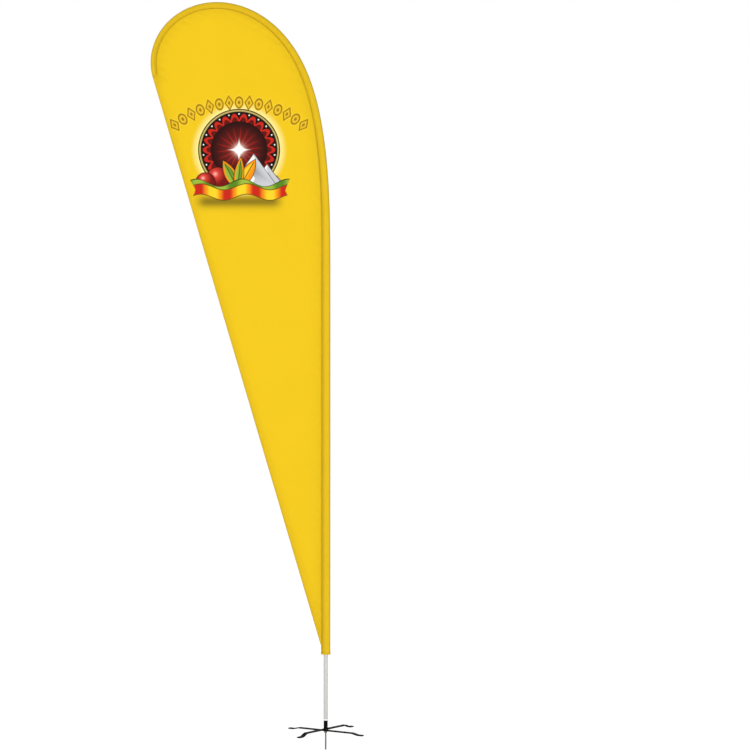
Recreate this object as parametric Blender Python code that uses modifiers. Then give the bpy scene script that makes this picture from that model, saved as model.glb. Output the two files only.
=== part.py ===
"""Teardrop flag on a folding cross base with a ground spike.

Units are metres and +Z is up.  The origin lies on the pole's axis at the
level of the feet.  The sail hangs towards -X and its front faces -Y.

From the ground up: two flat steel bars cross on a pivot stud, with a
conical nut and a ground spike under them and a socket tube above them.  A
flanged bush turns in the socket, and the pole's spigot lifts out of the
bush.  The pole has two straight tubes and two bent rods, and runs inside a
sleeve sewn along the curved edge of the sail.
"""

import math

import bmesh
import bpy
import numpy as np
from mathutils import Matrix, Vector

# Clearances
FIT_GAP = 0.0003            # between pieces that touch or slide on each other
MERGE = 0.00001             # merge distance of modifiers and of welded caps

# Cross base
LEG_LENGTH = 0.250          # pole axis to the end of a foot
BAR_WIDTH = 0.026
BAR_THICKNESS = 0.006
LOWER_BAR_HEIGHT = 0.008    # underside of the lower bar at the hub
UPPER_BAR_ANGLE = -126.0    # degrees, heading of the upper bar's front leg
LOWER_BAR_ANGLE = -33.0     # degrees, heading of the lower bar's front leg
FOOT_LENGTH = 0.034         # flat length of a foot at the end of a leg
BEND_LENGTH = 0.034         # horizontal run of the S-bend
BAR_EDGE_RADIUS = 0.0009
WASHER_THICKNESS = 0.0010
WASHER_RADIUS = 0.0105

# Hub, nut and spike
STUD_RADIUS = 0.005
STUD_HEAD_HEIGHT = 0.009
NUT_HEIGHT = 0.010
NUT_TOP_RADIUS = 0.0095
NUT_WALL = 0.0015
SPIKE_RADIUS = 0.0045
SPIKE_DEPTH = 0.098         # how far the point reaches below the feet
SPIKE_POINT_LENGTH = 0.007
SPIKE_POINT_RADIUS = 0.0006

# Socket and swivel
SOCKET_RADIUS = 0.0114
SOCKET_WALL = 0.0016
SOCKET_TOP = 0.0673
THRUST_WASHER_THICKNESS = 0.002
BUSH_WALL = 0.0014
BUSH_FLANGE_RADIUS = 0.0127
BUSH_FLANGE_HEIGHT = 0.0086
SPIGOT_PLUG_LENGTH = 0.070  # part of the spigot pressed into the pole

# Pole
POLE_RADIUS = 0.0123
TUBE_WALL = 0.0020
TUBE_JOINT_HEIGHT = 1.300   # top of the lower tube
ROD_JOINT_HEIGHT = 2.560    # top of the middle tube
INSERT_LENGTH = 0.080       # depth a section goes into the one below it
COLLAR_HEIGHT = 0.018
BEND_START_HEIGHT = 2.626   # the pole is straight up to here
BEND_ARC_LENGTH = 2.354     # from there along the curve to the sleeve's end
BEND_SHAPE = (0.0, 1.03, 5.01, 8.53)  # curvature times arc length, at each third
TIP_JOINT_SHARE = 0.50      # share of the bend at which the tip rod starts
TIP_ROD_RADIUS = 0.005
TIP_END_RADIUS = 0.0035
TIP_FERRULE_LENGTH = 0.090
TIP_FERRULE_WALL = 0.0010
TIP_CAP_LENGTH = 0.024
TIP_CAP_WALL = 0.0014

# Sail
SLEEVE_BOTTOM = 0.437
SLEEVE_HALF_WIDTH = 0.026   # across the straight part, in the sail's plane
SLEEVE_END_HALF_WIDTH = 0.016
SLEEVE_FLATTEN = 0.58       # depth of the sleeve as a share of its width
SLEEVE_WALL = 0.0010
MOUTH_HEM_HEIGHT = 0.012
POCKET_LENGTH = 0.020
SAIL_THICKNESS = 0.0010
EDGE_HEM_WIDTH = 0.012
EDGE_HEM_THICKNESS = 0.0020
EDGE_FOOT_HEIGHT = 0.485    # where the free edge meets the sleeve

# Tension fitting inside the sleeve's mouth
PEG_HEIGHT = 0.470
PEG_RADIUS = 0.0022
PEG_REACH = 0.0085          # how far the peg stands out of the pole
LOOP_BAND = 0.0016
LOOP_WIDTH = 0.0050
LOOP_LENGTH = 0.060

# Mesh fineness
ROUND_SIDES = 32
BEND_STEPS = 45
FINE_STEPS = 1800
ROD_FINENESS = 6            # sixteen sides round a rod

# Heights that follow from the sizes above
LOWER_BAR_TOP = LOWER_BAR_HEIGHT + BAR_THICKNESS
PIVOT_WASHER_BOTTOM = LOWER_BAR_TOP + FIT_GAP
UPPER_BAR_HEIGHT = PIVOT_WASHER_BOTTOM + WASHER_THICKNESS + FIT_GAP
UPPER_BAR_TOP = UPPER_BAR_HEIGHT + BAR_THICKNESS
SPRING_WASHER_BOTTOM = LOWER_BAR_HEIGHT - FIT_GAP - WASHER_THICKNESS
NUT_TOP = SPRING_WASHER_BOTTOM - FIT_GAP
NUT_STEP = NUT_TOP - NUT_HEIGHT / 2
NUT_BOTTOM = NUT_TOP - NUT_HEIGHT
SOCKET_BOTTOM = UPPER_BAR_TOP + FIT_GAP
SOCKET_BORE = SOCKET_RADIUS - SOCKET_WALL
STUD_HEAD_TOP = SOCKET_BOTTOM + STUD_HEAD_HEIGHT
THRUST_WASHER_BOTTOM = STUD_HEAD_TOP + FIT_GAP
BUSH_BOTTOM = THRUST_WASHER_BOTTOM + THRUST_WASHER_THICKNESS + FIT_GAP
BUSH_RADIUS = SOCKET_BORE - FIT_GAP
BUSH_BORE = BUSH_RADIUS - BUSH_WALL
FLANGE_BOTTOM = SOCKET_TOP + FIT_GAP
FLANGE_TOP = FLANGE_BOTTOM + BUSH_FLANGE_HEIGHT
POLE_BOTTOM = FLANGE_TOP + FIT_GAP
TUBE_BORE = POLE_RADIUS - TUBE_WALL
MIDDLE_RADIUS = TUBE_BORE - FIT_GAP
MIDDLE_BORE = MIDDLE_RADIUS - TUBE_WALL
ROD_RADIUS = MIDDLE_BORE - FIT_GAP
TIP_JOINT = BEND_ARC_LENGTH * TIP_JOINT_SHARE
POCKET_START = BEND_ARC_LENGTH - POCKET_LENGTH
CAP_END = POCKET_START - FIT_GAP
TIP_END = CAP_END - TIP_CAP_WALL - FIT_GAP

FLAG = bpy.data.collections.new("teardrop_flag")
CUTTERS = bpy.data.collections.new("cutters")


def clear_scene():
    """Remove what is in the scene and link the two collections."""
    for thing in list(bpy.data.objects):
        bpy.data.objects.remove(thing, do_unlink=True)
    bpy.context.scene.collection.children.link(FLAG)
    bpy.context.scene.collection.children.link(CUTTERS)


# ---------------------------------------------------------------- materials

def material(name, colour, roughness, metallic=0.0):
    """A plain Principled material; colour is linear red, green, blue."""
    made = bpy.data.materials.new(name)
    made.use_nodes = True
    shader = made.node_tree.nodes["Principled BSDF"]
    shader.inputs["Base Color"].default_value = (*colour, 1.0)
    shader.inputs["Roughness"].default_value = roughness
    shader.inputs["Metallic"].default_value = metallic
    made.diffuse_color = (*colour, 1.0)
    return made


def black_paint(name):
    """Satin black powder coat."""
    return material(name, (0.012, 0.011, 0.011), 0.42, 0.2)


def zinc_steel(name):
    """Dull zinc-plated steel."""
    return material(name, (0.36, 0.34, 0.31), 0.38, 1.0)


def anodised_aluminium(name):
    """Satin anodised aluminium."""
    return material(name, (0.74, 0.74, 0.72), 0.30, 1.0)


def white_nylon(name):
    """Plain white moulded nylon."""
    return material(name, (0.86, 0.86, 0.84), 0.45)


def fibreglass(name):
    """Smooth dark fibreglass, also used for the black rubber cap."""
    return material(name, (0.05, 0.05, 0.05), 0.35)


def yellow_polyester(name):
    """The sail's yellow cloth."""
    return material(name, (0.93, 0.61, 0.016), 0.80)


def yellow_sleeve(name):
    """The sleeve's doubled yellow cloth, a little darker."""
    return material(name, (0.83, 0.55, 0.018), 0.82)


# ------------------------------------------------------------ object helpers

def link_part(thing, collection=FLAG):
    """Put an object in its collection and return it."""
    for old in list(thing.users_collection):
        old.objects.unlink(thing)
    collection.objects.link(thing)
    return thing


def dress(thing, finish):
    """Give an object its own material made by a finish function."""
    thing.data.materials.clear()
    thing.data.materials.append(finish(thing.name + "_finish"))
    return thing


def shade_round(thing, angle=35.0):
    """Shade smooth, with edges sharper than the angle kept crisp."""
    thing.data.shade_smooth()
    thing.data.set_sharp_from_angle(angle=math.radians(angle))
    return thing


def turned(name, profile, finish, sides=ROUND_SIDES):
    """Turn a closed profile of (radius, height) points about the Z axis.

    The profile runs down its outer side first, so the faces point out.
    """
    mesh = bpy.data.meshes.new(name)
    points = [(radius, 0.0, height) for radius, height in profile]
    last = len(points) - 1
    closed = min(radius for radius, _ in profile) > 0.0
    edges = [(i, i + 1) for i in range(last)] + ([(last, 0)] if closed else [])
    mesh.from_pydata(points, edges, [])
    thing = link_part(bpy.data.objects.new(name, mesh))
    screw = thing.modifiers.new("turn", "SCREW")
    screw.steps = sides
    screw.render_steps = sides
    screw.use_merge_vertices = True
    screw.merge_threshold = MERGE
    screw.use_smooth_shade = True
    return dress(thing, finish)


def ring(name, outer, bore, bottom, top, finish, chamfer=0.0):
    """A turned ring or tube with both outer rims chamfered."""
    profile = [
        (outer - chamfer, top),
        (outer, top - chamfer),
        (outer, bottom + chamfer),
        (outer - chamfer, bottom),
        (bore, bottom),
        (bore, top),
    ]
    if chamfer == 0.0:
        profile = [(outer, top), (outer, bottom), (bore, bottom), (bore, top)]
    return turned(name, profile, finish)


def cylinder_cutter(name, radius, low, high):
    """A cutter along Z, left out of the build."""
    mesh = bpy.data.meshes.new(name)
    shape = bmesh.new()
    bmesh.ops.create_cone(
        shape, cap_ends=True, segments=ROUND_SIDES,
        radius1=radius, radius2=radius, depth=high - low,
    )
    bmesh.ops.translate(shape, verts=shape.verts, vec=(0, 0, (high + low) / 2))
    shape.to_mesh(mesh)
    shape.free()
    thing = link_part(bpy.data.objects.new(name, mesh), CUTTERS)
    thing.hide_render = True
    thing.display_type = "WIRE"
    return thing


def cut(thing, cutter):
    """Subtract a cutter with a live Boolean modifier."""
    step = thing.modifiers.new("cut_" + cutter.name, "BOOLEAN")
    step.operation = "DIFFERENCE"
    step.solver = "EXACT"
    step.object = cutter
    return thing


def mesh_from_curve(thing, name):
    """Replace a curve object by its welded mesh, in the same place."""
    bpy.context.view_layer.update()
    graph = bpy.context.evaluated_depsgraph_get()
    mesh = bpy.data.meshes.new_from_object(thing.evaluated_get(graph))
    shape = bmesh.new()
    shape.from_mesh(mesh)
    bmesh.ops.remove_doubles(shape, verts=shape.verts, dist=MERGE)
    shape.to_mesh(mesh)
    shape.free()
    made = bpy.data.objects.new(name, mesh)
    made.matrix_world = thing.matrix_world
    bpy.data.objects.remove(thing, do_unlink=True)
    return link_part(made)


def plate(name, outline, thickness):
    """A flat plate whose outline lies in its own XY plane."""
    curve = bpy.data.curves.new(name + "_outline", "CURVE")
    curve.dimensions = "2D"
    curve.fill_mode = "BOTH"
    curve.extrude = thickness / 2
    line = curve.splines.new("POLY")
    line.points.add(len(outline) - 1)
    for point, (x, y) in zip(line.points, outline):
        point.co = (x, y, 0.0, 1.0)
    line.use_cyclic_u = True
    thing = link_part(bpy.data.objects.new(name + "_outline", curve))
    return mesh_from_curve(thing, name)


def upright(thing):
    """Stand a plate up, so that its own Y axis becomes world Z."""
    thing.data.transform(Matrix.Rotation(math.radians(90), 4, "X"))
    return thing


def round_rod(name, path, radii, finish, capped=True):
    """A round rod or an open tube skin along a path."""
    widest = max(radii)
    curve = bpy.data.curves.new(name + "_path", "CURVE")
    curve.dimensions = "3D"
    curve.bevel_depth = widest
    curve.bevel_resolution = ROD_FINENESS
    curve.use_fill_caps = capped
    line = curve.splines.new("POLY")
    line.points.add(len(path) - 1)
    for point, place, radius in zip(line.points, path, radii):
        point.co = (*place, 1.0)
        point.radius = radius / widest
    thing = link_part(bpy.data.objects.new(name + "_path", curve))
    made = mesh_from_curve(thing, name)
    dress(made, finish)
    return shade_round(made)


def add_wall(thing, wall, outward):
    """Give an open skin a wall, on its outside or on its inside."""
    shell = thing.modifiers.new("wall", "SOLIDIFY")
    shell.thickness = wall
    shell.offset = 1.0 if outward else -1.0
    shell.use_even_offset = True
    return thing


# ------------------------------------------------------- the bent pole's line

def pole_line(lengths, offset=0.0):
    """Points on the pole's line at the given arc lengths past the bend start.

    The curvature grows from piece to piece of the bend as BEND_SHAPE says,
    straight lines joining its four values, so the heading angle is its
    running sum and the position is the running sum of the heading.  Below
    the bend the line is vertical.  The line is then read at the bend's
    even stations, with straight chords between them, so that every piece
    on the pole follows the same chords.  The offset is measured in the
    sail's plane and is positive away from the sail; it may be one value or
    one for each point.
    """
    lengths = np.asarray(lengths, dtype=float)
    fine = np.linspace(0.0, BEND_ARC_LENGTH, FINE_STEPS + 1)
    thirds = np.linspace(0.0, BEND_ARC_LENGTH, len(BEND_SHAPE))
    curvature = np.interp(fine, thirds, BEND_SHAPE) / BEND_ARC_LENGTH
    heading = running_sum(curvature, fine)
    across = running_sum(-np.sin(heading), fine)
    along = running_sum(np.cos(heading), fine)
    chords = bend_stations()
    chord_x = np.interp(chords, fine, across)
    chord_z = np.interp(chords, fine, along) + BEND_START_HEIGHT
    angle = section_angles(chord_x, chord_z)
    x = np.interp(lengths, chords, chord_x)
    z = np.interp(lengths, chords, chord_z) + np.minimum(lengths, 0.0)
    x = x + offset * np.interp(lengths, chords, np.cos(angle))
    z = z + offset * np.interp(lengths, chords, np.sin(angle))
    return np.stack([x, np.zeros_like(x), z], axis=1)


def section_angles(x, z):
    """The tilt of a cross-section at each station, in radians.

    A section halves the corner between its two chords, the first with the
    vertical below it, and the last section is square to the last chord.
    """
    chord = np.unwrap(np.arctan2(-np.diff(x), np.diff(z)))
    padded = np.concatenate([[0.0], chord, chord[-1:]])
    return (padded[1:] + padded[:-1]) / 2


def bend_stations():
    """The bend's even stations, as arc lengths."""
    return np.linspace(0.0, BEND_ARC_LENGTH, BEND_STEPS + 1)


def running_sum(values, places):
    """The running integral of values over places, by the trapezium rule."""
    steps = (values[1:] + values[:-1]) / 2 * np.diff(places)
    return np.concatenate([[0.0], np.cumsum(steps)])


def height_to_length(height):
    """The arc length of a point on the straight part; it is negative."""
    return height - BEND_START_HEIGHT


def stations_between(start, end):
    """Arc lengths from start to end, with the bend's stations between them."""
    inside = [length for length in bend_stations() if start < length < end]
    return np.array([start, *inside, end])


def sleeve_half_width(lengths):
    """Half the sleeve's width: even when straight, narrowing in the bend."""
    share = np.clip(np.asarray(lengths) / BEND_ARC_LENGTH, 0.0, 1.0)
    return SLEEVE_HALF_WIDTH + (SLEEVE_END_HALF_WIDTH - SLEEVE_HALF_WIDTH) * share


# ------------------------------------------------------------------ the base

def bar_outline(height):
    """Side outline of a leg bar: level hub, S-bends down to two flat feet.

    The bar keeps its thickness square to its own run, so the upper line is
    the lower one moved up by the thickness in the level parts and shifted
    along in the bends.
    """
    slope = math.atan2(height, BEND_LENGTH)
    shift = BAR_THICKNESS * math.tan(slope / 2)
    foot_start = LEG_LENGTH - FOOT_LENGTH
    bend_start = foot_start - BEND_LENGTH
    half_under = [
        (bend_start, height),
        (foot_start, 0.0),
        (LEG_LENGTH, 0.0),
    ]
    half_over = [
        (LEG_LENGTH, BAR_THICKNESS),
        (foot_start + shift, BAR_THICKNESS),
        (bend_start + shift, height + BAR_THICKNESS),
    ]
    right = half_under + half_over
    left = [(-x, z) for x, z in reversed(right)]
    return left[3:] + right + left[:3]


def leg_bar(name, height, angle):
    """One flat steel bar across the hub, with its pivot hole."""
    bar = upright(plate(name, bar_outline(height), BAR_WIDTH))
    edge = bar.modifiers.new("rounded_edges", "BEVEL")
    edge.width = BAR_EDGE_RADIUS
    edge.segments = 2
    edge.limit_method = "ANGLE"
    edge.angle_limit = math.radians(60)
    hole = cylinder_cutter(
        name + "_hole", STUD_RADIUS + FIT_GAP,
        height - BAR_THICKNESS, height + 2 * BAR_THICKNESS,
    )
    cut(bar, hole)
    bar.rotation_euler = (0.0, 0.0, math.radians(angle))
    hole.rotation_euler = bar.rotation_euler
    dress(bar, black_paint)
    return shade_round(bar)


def make_base():
    """The crossed bars, the pivot stud with its washers, nut and spike."""
    leg_bar("upper_leg_bar", UPPER_BAR_HEIGHT, UPPER_BAR_ANGLE)
    leg_bar("lower_leg_bar", LOWER_BAR_HEIGHT, LOWER_BAR_ANGLE)
    washer_bore = STUD_RADIUS + FIT_GAP
    ring(
        "pivot_washer", WASHER_RADIUS, washer_bore, PIVOT_WASHER_BOTTOM,
        PIVOT_WASHER_BOTTOM + WASHER_THICKNESS, white_nylon,
    )
    ring(
        "spring_washer", WASHER_RADIUS, washer_bore, SPRING_WASHER_BOTTOM,
        SPRING_WASHER_BOTTOM + WASHER_THICKNESS, zinc_steel,
    )
    head_radius = SOCKET_BORE - FIT_GAP
    turned(
        "pivot_stud",
        [
            (0.0, STUD_HEAD_TOP),
            (head_radius, STUD_HEAD_TOP),
            (head_radius, SOCKET_BOTTOM),
            (STUD_RADIUS, SOCKET_BOTTOM),
            (STUD_RADIUS, NUT_STEP + FIT_GAP),
            (0.0, NUT_STEP + FIT_GAP),
        ],
        zinc_steel,
    )
    make_nut_and_spike()


def make_nut_and_spike():
    """The conical nut under the bars and the spike screwed into it."""
    spike_bore = SPIKE_RADIUS + FIT_GAP
    turned(
        "conical_nut",
        [
            (NUT_TOP_RADIUS, NUT_TOP),
            (NUT_TOP_RADIUS, NUT_TOP - NUT_HEIGHT / 5),
            (spike_bore + NUT_WALL, NUT_BOTTOM),
            (spike_bore, NUT_BOTTOM),
            (spike_bore, NUT_STEP),
            (STUD_RADIUS + FIT_GAP, NUT_STEP),
            (STUD_RADIUS + FIT_GAP, NUT_TOP),
        ],
        zinc_steel,
    )
    turned(
        "ground_spike",
        [
            (0.0, NUT_STEP),
            (SPIKE_RADIUS, NUT_STEP),
            (SPIKE_RADIUS, SPIKE_POINT_LENGTH - SPIKE_DEPTH),
            (SPIKE_POINT_RADIUS, -SPIKE_DEPTH),
            (0.0, -SPIKE_DEPTH),
        ],
        zinc_steel,
    )


# ----------------------------------------------------------- socket and bush

def make_socket():
    """The socket tube on the base and the washer at the bottom of it."""
    ring(
        "socket_tube", SOCKET_RADIUS, SOCKET_BORE, SOCKET_BOTTOM, SOCKET_TOP,
        black_paint, chamfer=0.0006,
    )
    ring(
        "thrust_washer", SOCKET_BORE - FIT_GAP, STUD_RADIUS,
        THRUST_WASHER_BOTTOM, THRUST_WASHER_BOTTOM + THRUST_WASHER_THICKNESS,
        white_nylon,
    )


def make_bush():
    """The flanged bush that turns in the socket under the pole."""
    rim = 0.0008
    return turned(
        "flanged_bush",
        [
            (BUSH_FLANGE_RADIUS - rim, FLANGE_TOP),
            (BUSH_FLANGE_RADIUS, FLANGE_TOP - rim),
            (BUSH_FLANGE_RADIUS, FLANGE_BOTTOM + rim),
            (BUSH_FLANGE_RADIUS - rim, FLANGE_BOTTOM),
            (BUSH_RADIUS, FLANGE_BOTTOM),
            (BUSH_RADIUS, BUSH_BOTTOM),
            (BUSH_BORE, BUSH_BOTTOM),
            (BUSH_BORE, FLANGE_TOP),
        ],
        white_nylon,
    )


# ------------------------------------------------------------------ the pole

def make_pole_foot():
    """The steel spigot: a pin in the bush and a plug in the lower tube."""
    pin = BUSH_BORE - FIT_GAP
    plug = TUBE_BORE - FIT_GAP
    tip = 0.0015
    turned(
        "pole_spigot",
        [
            (0.0, POLE_BOTTOM + SPIGOT_PLUG_LENGTH),
            (plug, POLE_BOTTOM + SPIGOT_PLUG_LENGTH),
            (plug, POLE_BOTTOM),
            (pin, POLE_BOTTOM),
            (pin, BUSH_BOTTOM + tip),
            (pin - tip, BUSH_BOTTOM),
            (0.0, BUSH_BOTTOM),
        ],
        zinc_steel,
    )


def make_tubes():
    """The two straight tubes, each seated in the one below, and collars."""
    ring(
        "lower_pole_tube", POLE_RADIUS, TUBE_BORE, POLE_BOTTOM,
        TUBE_JOINT_HEIGHT, anodised_aluminium, chamfer=0.0004,
    )
    ring(
        "middle_pole_tube", MIDDLE_RADIUS, MIDDLE_BORE,
        TUBE_JOINT_HEIGHT - INSERT_LENGTH, ROD_JOINT_HEIGHT,
        anodised_aluminium,
    )
    ring(
        "lower_stop_collar", POLE_RADIUS, MIDDLE_RADIUS + FIT_GAP,
        TUBE_JOINT_HEIGHT + FIT_GAP, TUBE_JOINT_HEIGHT + COLLAR_HEIGHT,
        anodised_aluminium, chamfer=0.0004,
    )
    ring(
        "upper_stop_collar", MIDDLE_RADIUS, ROD_RADIUS + FIT_GAP,
        ROD_JOINT_HEIGHT + FIT_GAP, ROD_JOINT_HEIGHT + COLLAR_HEIGHT,
        anodised_aluminium, chamfer=0.0004,
    )


def make_rods():
    """The bent rod, the tapered tip rod, and the ferrule that joins them."""
    rod = stations_between(
        height_to_length(ROD_JOINT_HEIGHT - INSERT_LENGTH), TIP_JOINT,
    )
    round_rod("bent_pole_rod", pole_line(rod), [ROD_RADIUS] * len(rod), fibreglass)
    tip = stations_between(TIP_JOINT + FIT_GAP, TIP_END)
    taper = np.interp(tip, [tip[0], tip[-1]], [TIP_ROD_RADIUS, TIP_END_RADIUS])
    round_rod("tip_rod", pole_line(tip), list(taper), fibreglass)
    make_tip_ferrule()
    make_tip_cap()


def make_tip_ferrule():
    """A stepped aluminium ferrule: its lower half grips the thicker rod."""
    half = TIP_FERRULE_LENGTH / 2
    shoulder = TIP_JOINT + 2 * FIT_GAP
    throat = shoulder + ROD_RADIUS
    ends = stations_between(TIP_JOINT - half, TIP_JOINT + half)
    lengths = np.union1d(ends, [shoulder, throat])
    wide = ROD_RADIUS + FIT_GAP
    narrow = TIP_ROD_RADIUS + FIT_GAP
    radii = np.interp(lengths, [shoulder, throat], [wide, narrow])
    skin = round_rod(
        "tip_ferrule", pole_line(lengths), list(radii),
        anodised_aluminium, capped=False,
    )
    return add_wall(skin, TIP_FERRULE_WALL, outward=True)


def make_tip_cap():
    """The rubber cap on the end of the tip rod, a cup closed at its end."""
    start = CAP_END - TIP_CAP_LENGTH
    bore = TIP_END_RADIUS + 2 * FIT_GAP
    radius = bore + TIP_CAP_WALL
    outside = stations_between(start, CAP_END)
    cap = round_rod("tip_cap", pole_line(outside), [radius] * len(outside), fibreglass)
    inside = np.array([start - TIP_CAP_WALL, TIP_END + FIT_GAP])
    hollow = round_rod("tip_cap_hollow", pole_line(inside), [bore, bore], fibreglass)
    link_part(hollow, CUTTERS)
    hollow.hide_render = True
    hollow.display_type = "WIRE"
    return cut(cap, hollow)


# ------------------------------------------------------------------ the sail

def sleeve_skin(name, start, end, capped=False):
    """A flattened tube round the pole's line from start to end."""
    lengths = stations_between(start, end)
    widths = sleeve_half_width(lengths)
    skin = round_rod(
        name, pole_line(lengths), list(widths), yellow_sleeve, capped=capped,
    )
    skin.data.transform(Matrix.Diagonal((1.0, SLEEVE_FLATTEN, 1.0, 1.0)))
    return skin


def make_sleeve():
    """The pole sleeve with the hem at its mouth and the pocket at its end."""
    mouth = height_to_length(SLEEVE_BOTTOM)
    hem_top = mouth + MOUTH_HEM_HEIGHT
    add_wall(sleeve_skin("mouth_hem", mouth, hem_top), SLEEVE_WALL, outward=False)
    add_wall(
        sleeve_skin("pole_sleeve", hem_top + FIT_GAP, POCKET_START - FIT_GAP),
        SLEEVE_WALL, outward=False,
    )
    sleeve_skin("tip_pocket", POCKET_START, BEND_ARC_LENGTH, capped=True)


def flat(point):
    """A point's place in the sail's plane."""
    return Vector((point[0], point[2]))


def seam_points(start):
    """The seam, along the inner side of the sleeve, from start to the tip."""
    lengths = stations_between(start, BEND_ARC_LENGTH)
    offsets = -sleeve_half_width(lengths) - FIT_GAP
    return [flat(point) for point in pole_line(lengths, offsets)]


def sail_corners():
    """The free edge's foot and head, and the sail's corner at the tip.

    The foot lies on the seam and the head just past the outer end of the
    tip pocket, so the straight edge closes the shape.
    """
    foot = seam_points(height_to_length(EDGE_FOOT_HEIGHT))[0]
    tip, near_tip = pole_line([BEND_ARC_LENGTH, BEND_ARC_LENGTH - FIT_GAP])
    past_pocket = flat(tip) - flat(near_tip)
    outer = pole_line([BEND_ARC_LENGTH], SLEEVE_END_HALF_WIDTH)[0]
    head = flat(outer) + past_pocket
    corner = seam_points(height_to_length(EDGE_FOOT_HEIGHT))[-1] + past_pocket
    return foot, head, corner


def make_sail():
    """The sail panel and the hem along its free edge.

    The hem is a strip of even width inside the free edge.  Its foot is cut
    along the seam and its head along the end of the tip pocket.  The panel
    fills the rest of the space up to the seam.
    """
    foot, head, corner = sail_corners()
    run = (head - foot).normalized()
    inward = Vector((run.y, -run.x))
    up_seam = Vector((0.0, 1.0))
    along_end = (corner - head).normalized()
    up_step = up_seam / up_seam.dot(inward)
    end_step = along_end / along_end.dot(inward)
    strip = [
        foot,
        foot + up_step * EDGE_HEM_WIDTH,
        head + end_step * EDGE_HEM_WIDTH,
        head,
    ]
    hem = upright(plate("free_edge_hem", strip, EDGE_HEM_THICKNESS))
    dress(hem, yellow_polyester)
    panel_side = EDGE_HEM_WIDTH + FIT_GAP
    panel_foot = foot + up_step * panel_side
    seam = seam_points(height_to_length(panel_foot.y))
    outline = [*seam, corner, head + end_step * panel_side]
    panel = upright(plate("sail_panel", outline, SAIL_THICKNESS))
    dress(panel, yellow_polyester)


# ----------------------------------------------------------- tension fitting

def make_tension_fitting():
    """The peg on the pole and the webbing loop that holds the sleeve down."""
    start = POLE_RADIUS + FIT_GAP
    peg = turned(
        "tension_peg",
        [
            (0.0, 0.0),
            (PEG_RADIUS, 0.0),
            (PEG_RADIUS, -PEG_REACH),
            (0.0, -PEG_REACH),
        ],
        zinc_steel,
    )
    peg.rotation_euler = (0.0, math.radians(-90), 0.0)
    peg.location = (start, 0.0, PEG_HEIGHT)
    inner = PEG_RADIUS + FIT_GAP
    outer = inner + LOOP_BAND
    outside = slot_outline(outer, LOOP_LENGTH)
    loop = plate("tension_loop", outside, LOOP_WIDTH)
    hollow = plate("tension_loop_hollow", slot_outline(inner, LOOP_LENGTH), LOOP_WIDTH * 2)
    link_part(hollow, CUTTERS)
    hollow.hide_render = True
    hollow.display_type = "WIRE"
    turn = Matrix.Rotation(math.radians(90), 4, "Z") @ Matrix.Rotation(math.radians(90), 4, "X")
    place = Matrix.Translation((start + PEG_REACH / 2, 0.0, PEG_HEIGHT))
    for thing in (loop, hollow):
        thing.data.transform(place @ turn)
    cut(loop, hollow)
    dress(loop, black_paint)


def slot_outline(radius, length, sides=8):
    """A slot with round ends: about the origin and a length above it."""
    points = []
    for step in range(sides + 1):
        angle = math.pi + math.pi * step / sides
        points.append((radius * math.cos(angle), radius * math.sin(angle)))
    for step in range(sides + 1):
        angle = math.pi * step / sides
        points.append((radius * math.cos(angle), length + radius * math.sin(angle)))
    return points


def main():
    """Model every piece of the flag in place."""
    clear_scene()
    make_base()
    make_socket()
    make_bush()
    make_pole_foot()
    make_tubes()
    make_rods()
    make_sleeve()
    make_sail()
    make_tension_fitting()


main()
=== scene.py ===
import logging
import math
from dataclasses import dataclass, field
from enum import Enum

import bmesh
import bpy
import numpy as np
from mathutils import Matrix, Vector


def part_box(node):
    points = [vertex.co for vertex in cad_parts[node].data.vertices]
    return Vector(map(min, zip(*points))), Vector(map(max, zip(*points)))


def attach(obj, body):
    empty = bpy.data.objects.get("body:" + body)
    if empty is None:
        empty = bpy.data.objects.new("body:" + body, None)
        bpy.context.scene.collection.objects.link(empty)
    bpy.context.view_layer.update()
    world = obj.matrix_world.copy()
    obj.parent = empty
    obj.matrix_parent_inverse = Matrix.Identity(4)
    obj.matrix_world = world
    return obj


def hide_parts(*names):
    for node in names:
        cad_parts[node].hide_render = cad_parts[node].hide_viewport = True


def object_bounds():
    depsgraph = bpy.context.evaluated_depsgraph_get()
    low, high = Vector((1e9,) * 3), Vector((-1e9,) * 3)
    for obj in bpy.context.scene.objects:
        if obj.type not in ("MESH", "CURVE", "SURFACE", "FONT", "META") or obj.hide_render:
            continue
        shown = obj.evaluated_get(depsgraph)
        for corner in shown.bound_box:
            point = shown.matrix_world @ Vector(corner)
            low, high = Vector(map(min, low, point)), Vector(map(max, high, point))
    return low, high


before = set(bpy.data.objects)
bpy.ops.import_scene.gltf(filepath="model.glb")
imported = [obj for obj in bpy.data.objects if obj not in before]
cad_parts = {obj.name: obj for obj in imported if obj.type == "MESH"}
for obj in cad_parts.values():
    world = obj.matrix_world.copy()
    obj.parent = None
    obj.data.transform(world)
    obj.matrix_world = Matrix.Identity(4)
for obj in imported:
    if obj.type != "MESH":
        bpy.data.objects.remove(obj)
CAD_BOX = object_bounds()

LOG = logging.getLogger("teardrop_flag")
Array = np.ndarray
Colour = tuple[float, float, float]


class Body(Enum):
    """The rigid bodies of the flag that a piece can ride on."""

    BASE = "base"
    LOWER_BAR = "lower_bar"
    SWIVEL = "swivel"
    FLAG = "flag"


class Slot(Enum):
    """The material slots that a piece can take its finish from."""

    BLACK_STEEL = "black_steel"
    ZINC_STEEL = "zinc_steel"
    ALUMINIUM = "anodised_aluminium"
    NYLON = "white_nylon"
    FIBREGLASS = "fibreglass_rod"
    RUBBER = "rubber_cap"
    SAIL = "sail_polyester"
    SLEEVE = "sleeve_polyester"
    WEBBING = "black_webbing"


class Face(Enum):
    """The two faces of the sail, as the side of the XZ plane they look to."""

    FRONT = -1.0
    BACK = 1.0

    def facing(self, line: Array) -> Array:
        """This face's direction, once for each point of a line."""
        return np.broadcast_to(np.array([0.0, self.value, 0.0]), line.shape)


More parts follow.
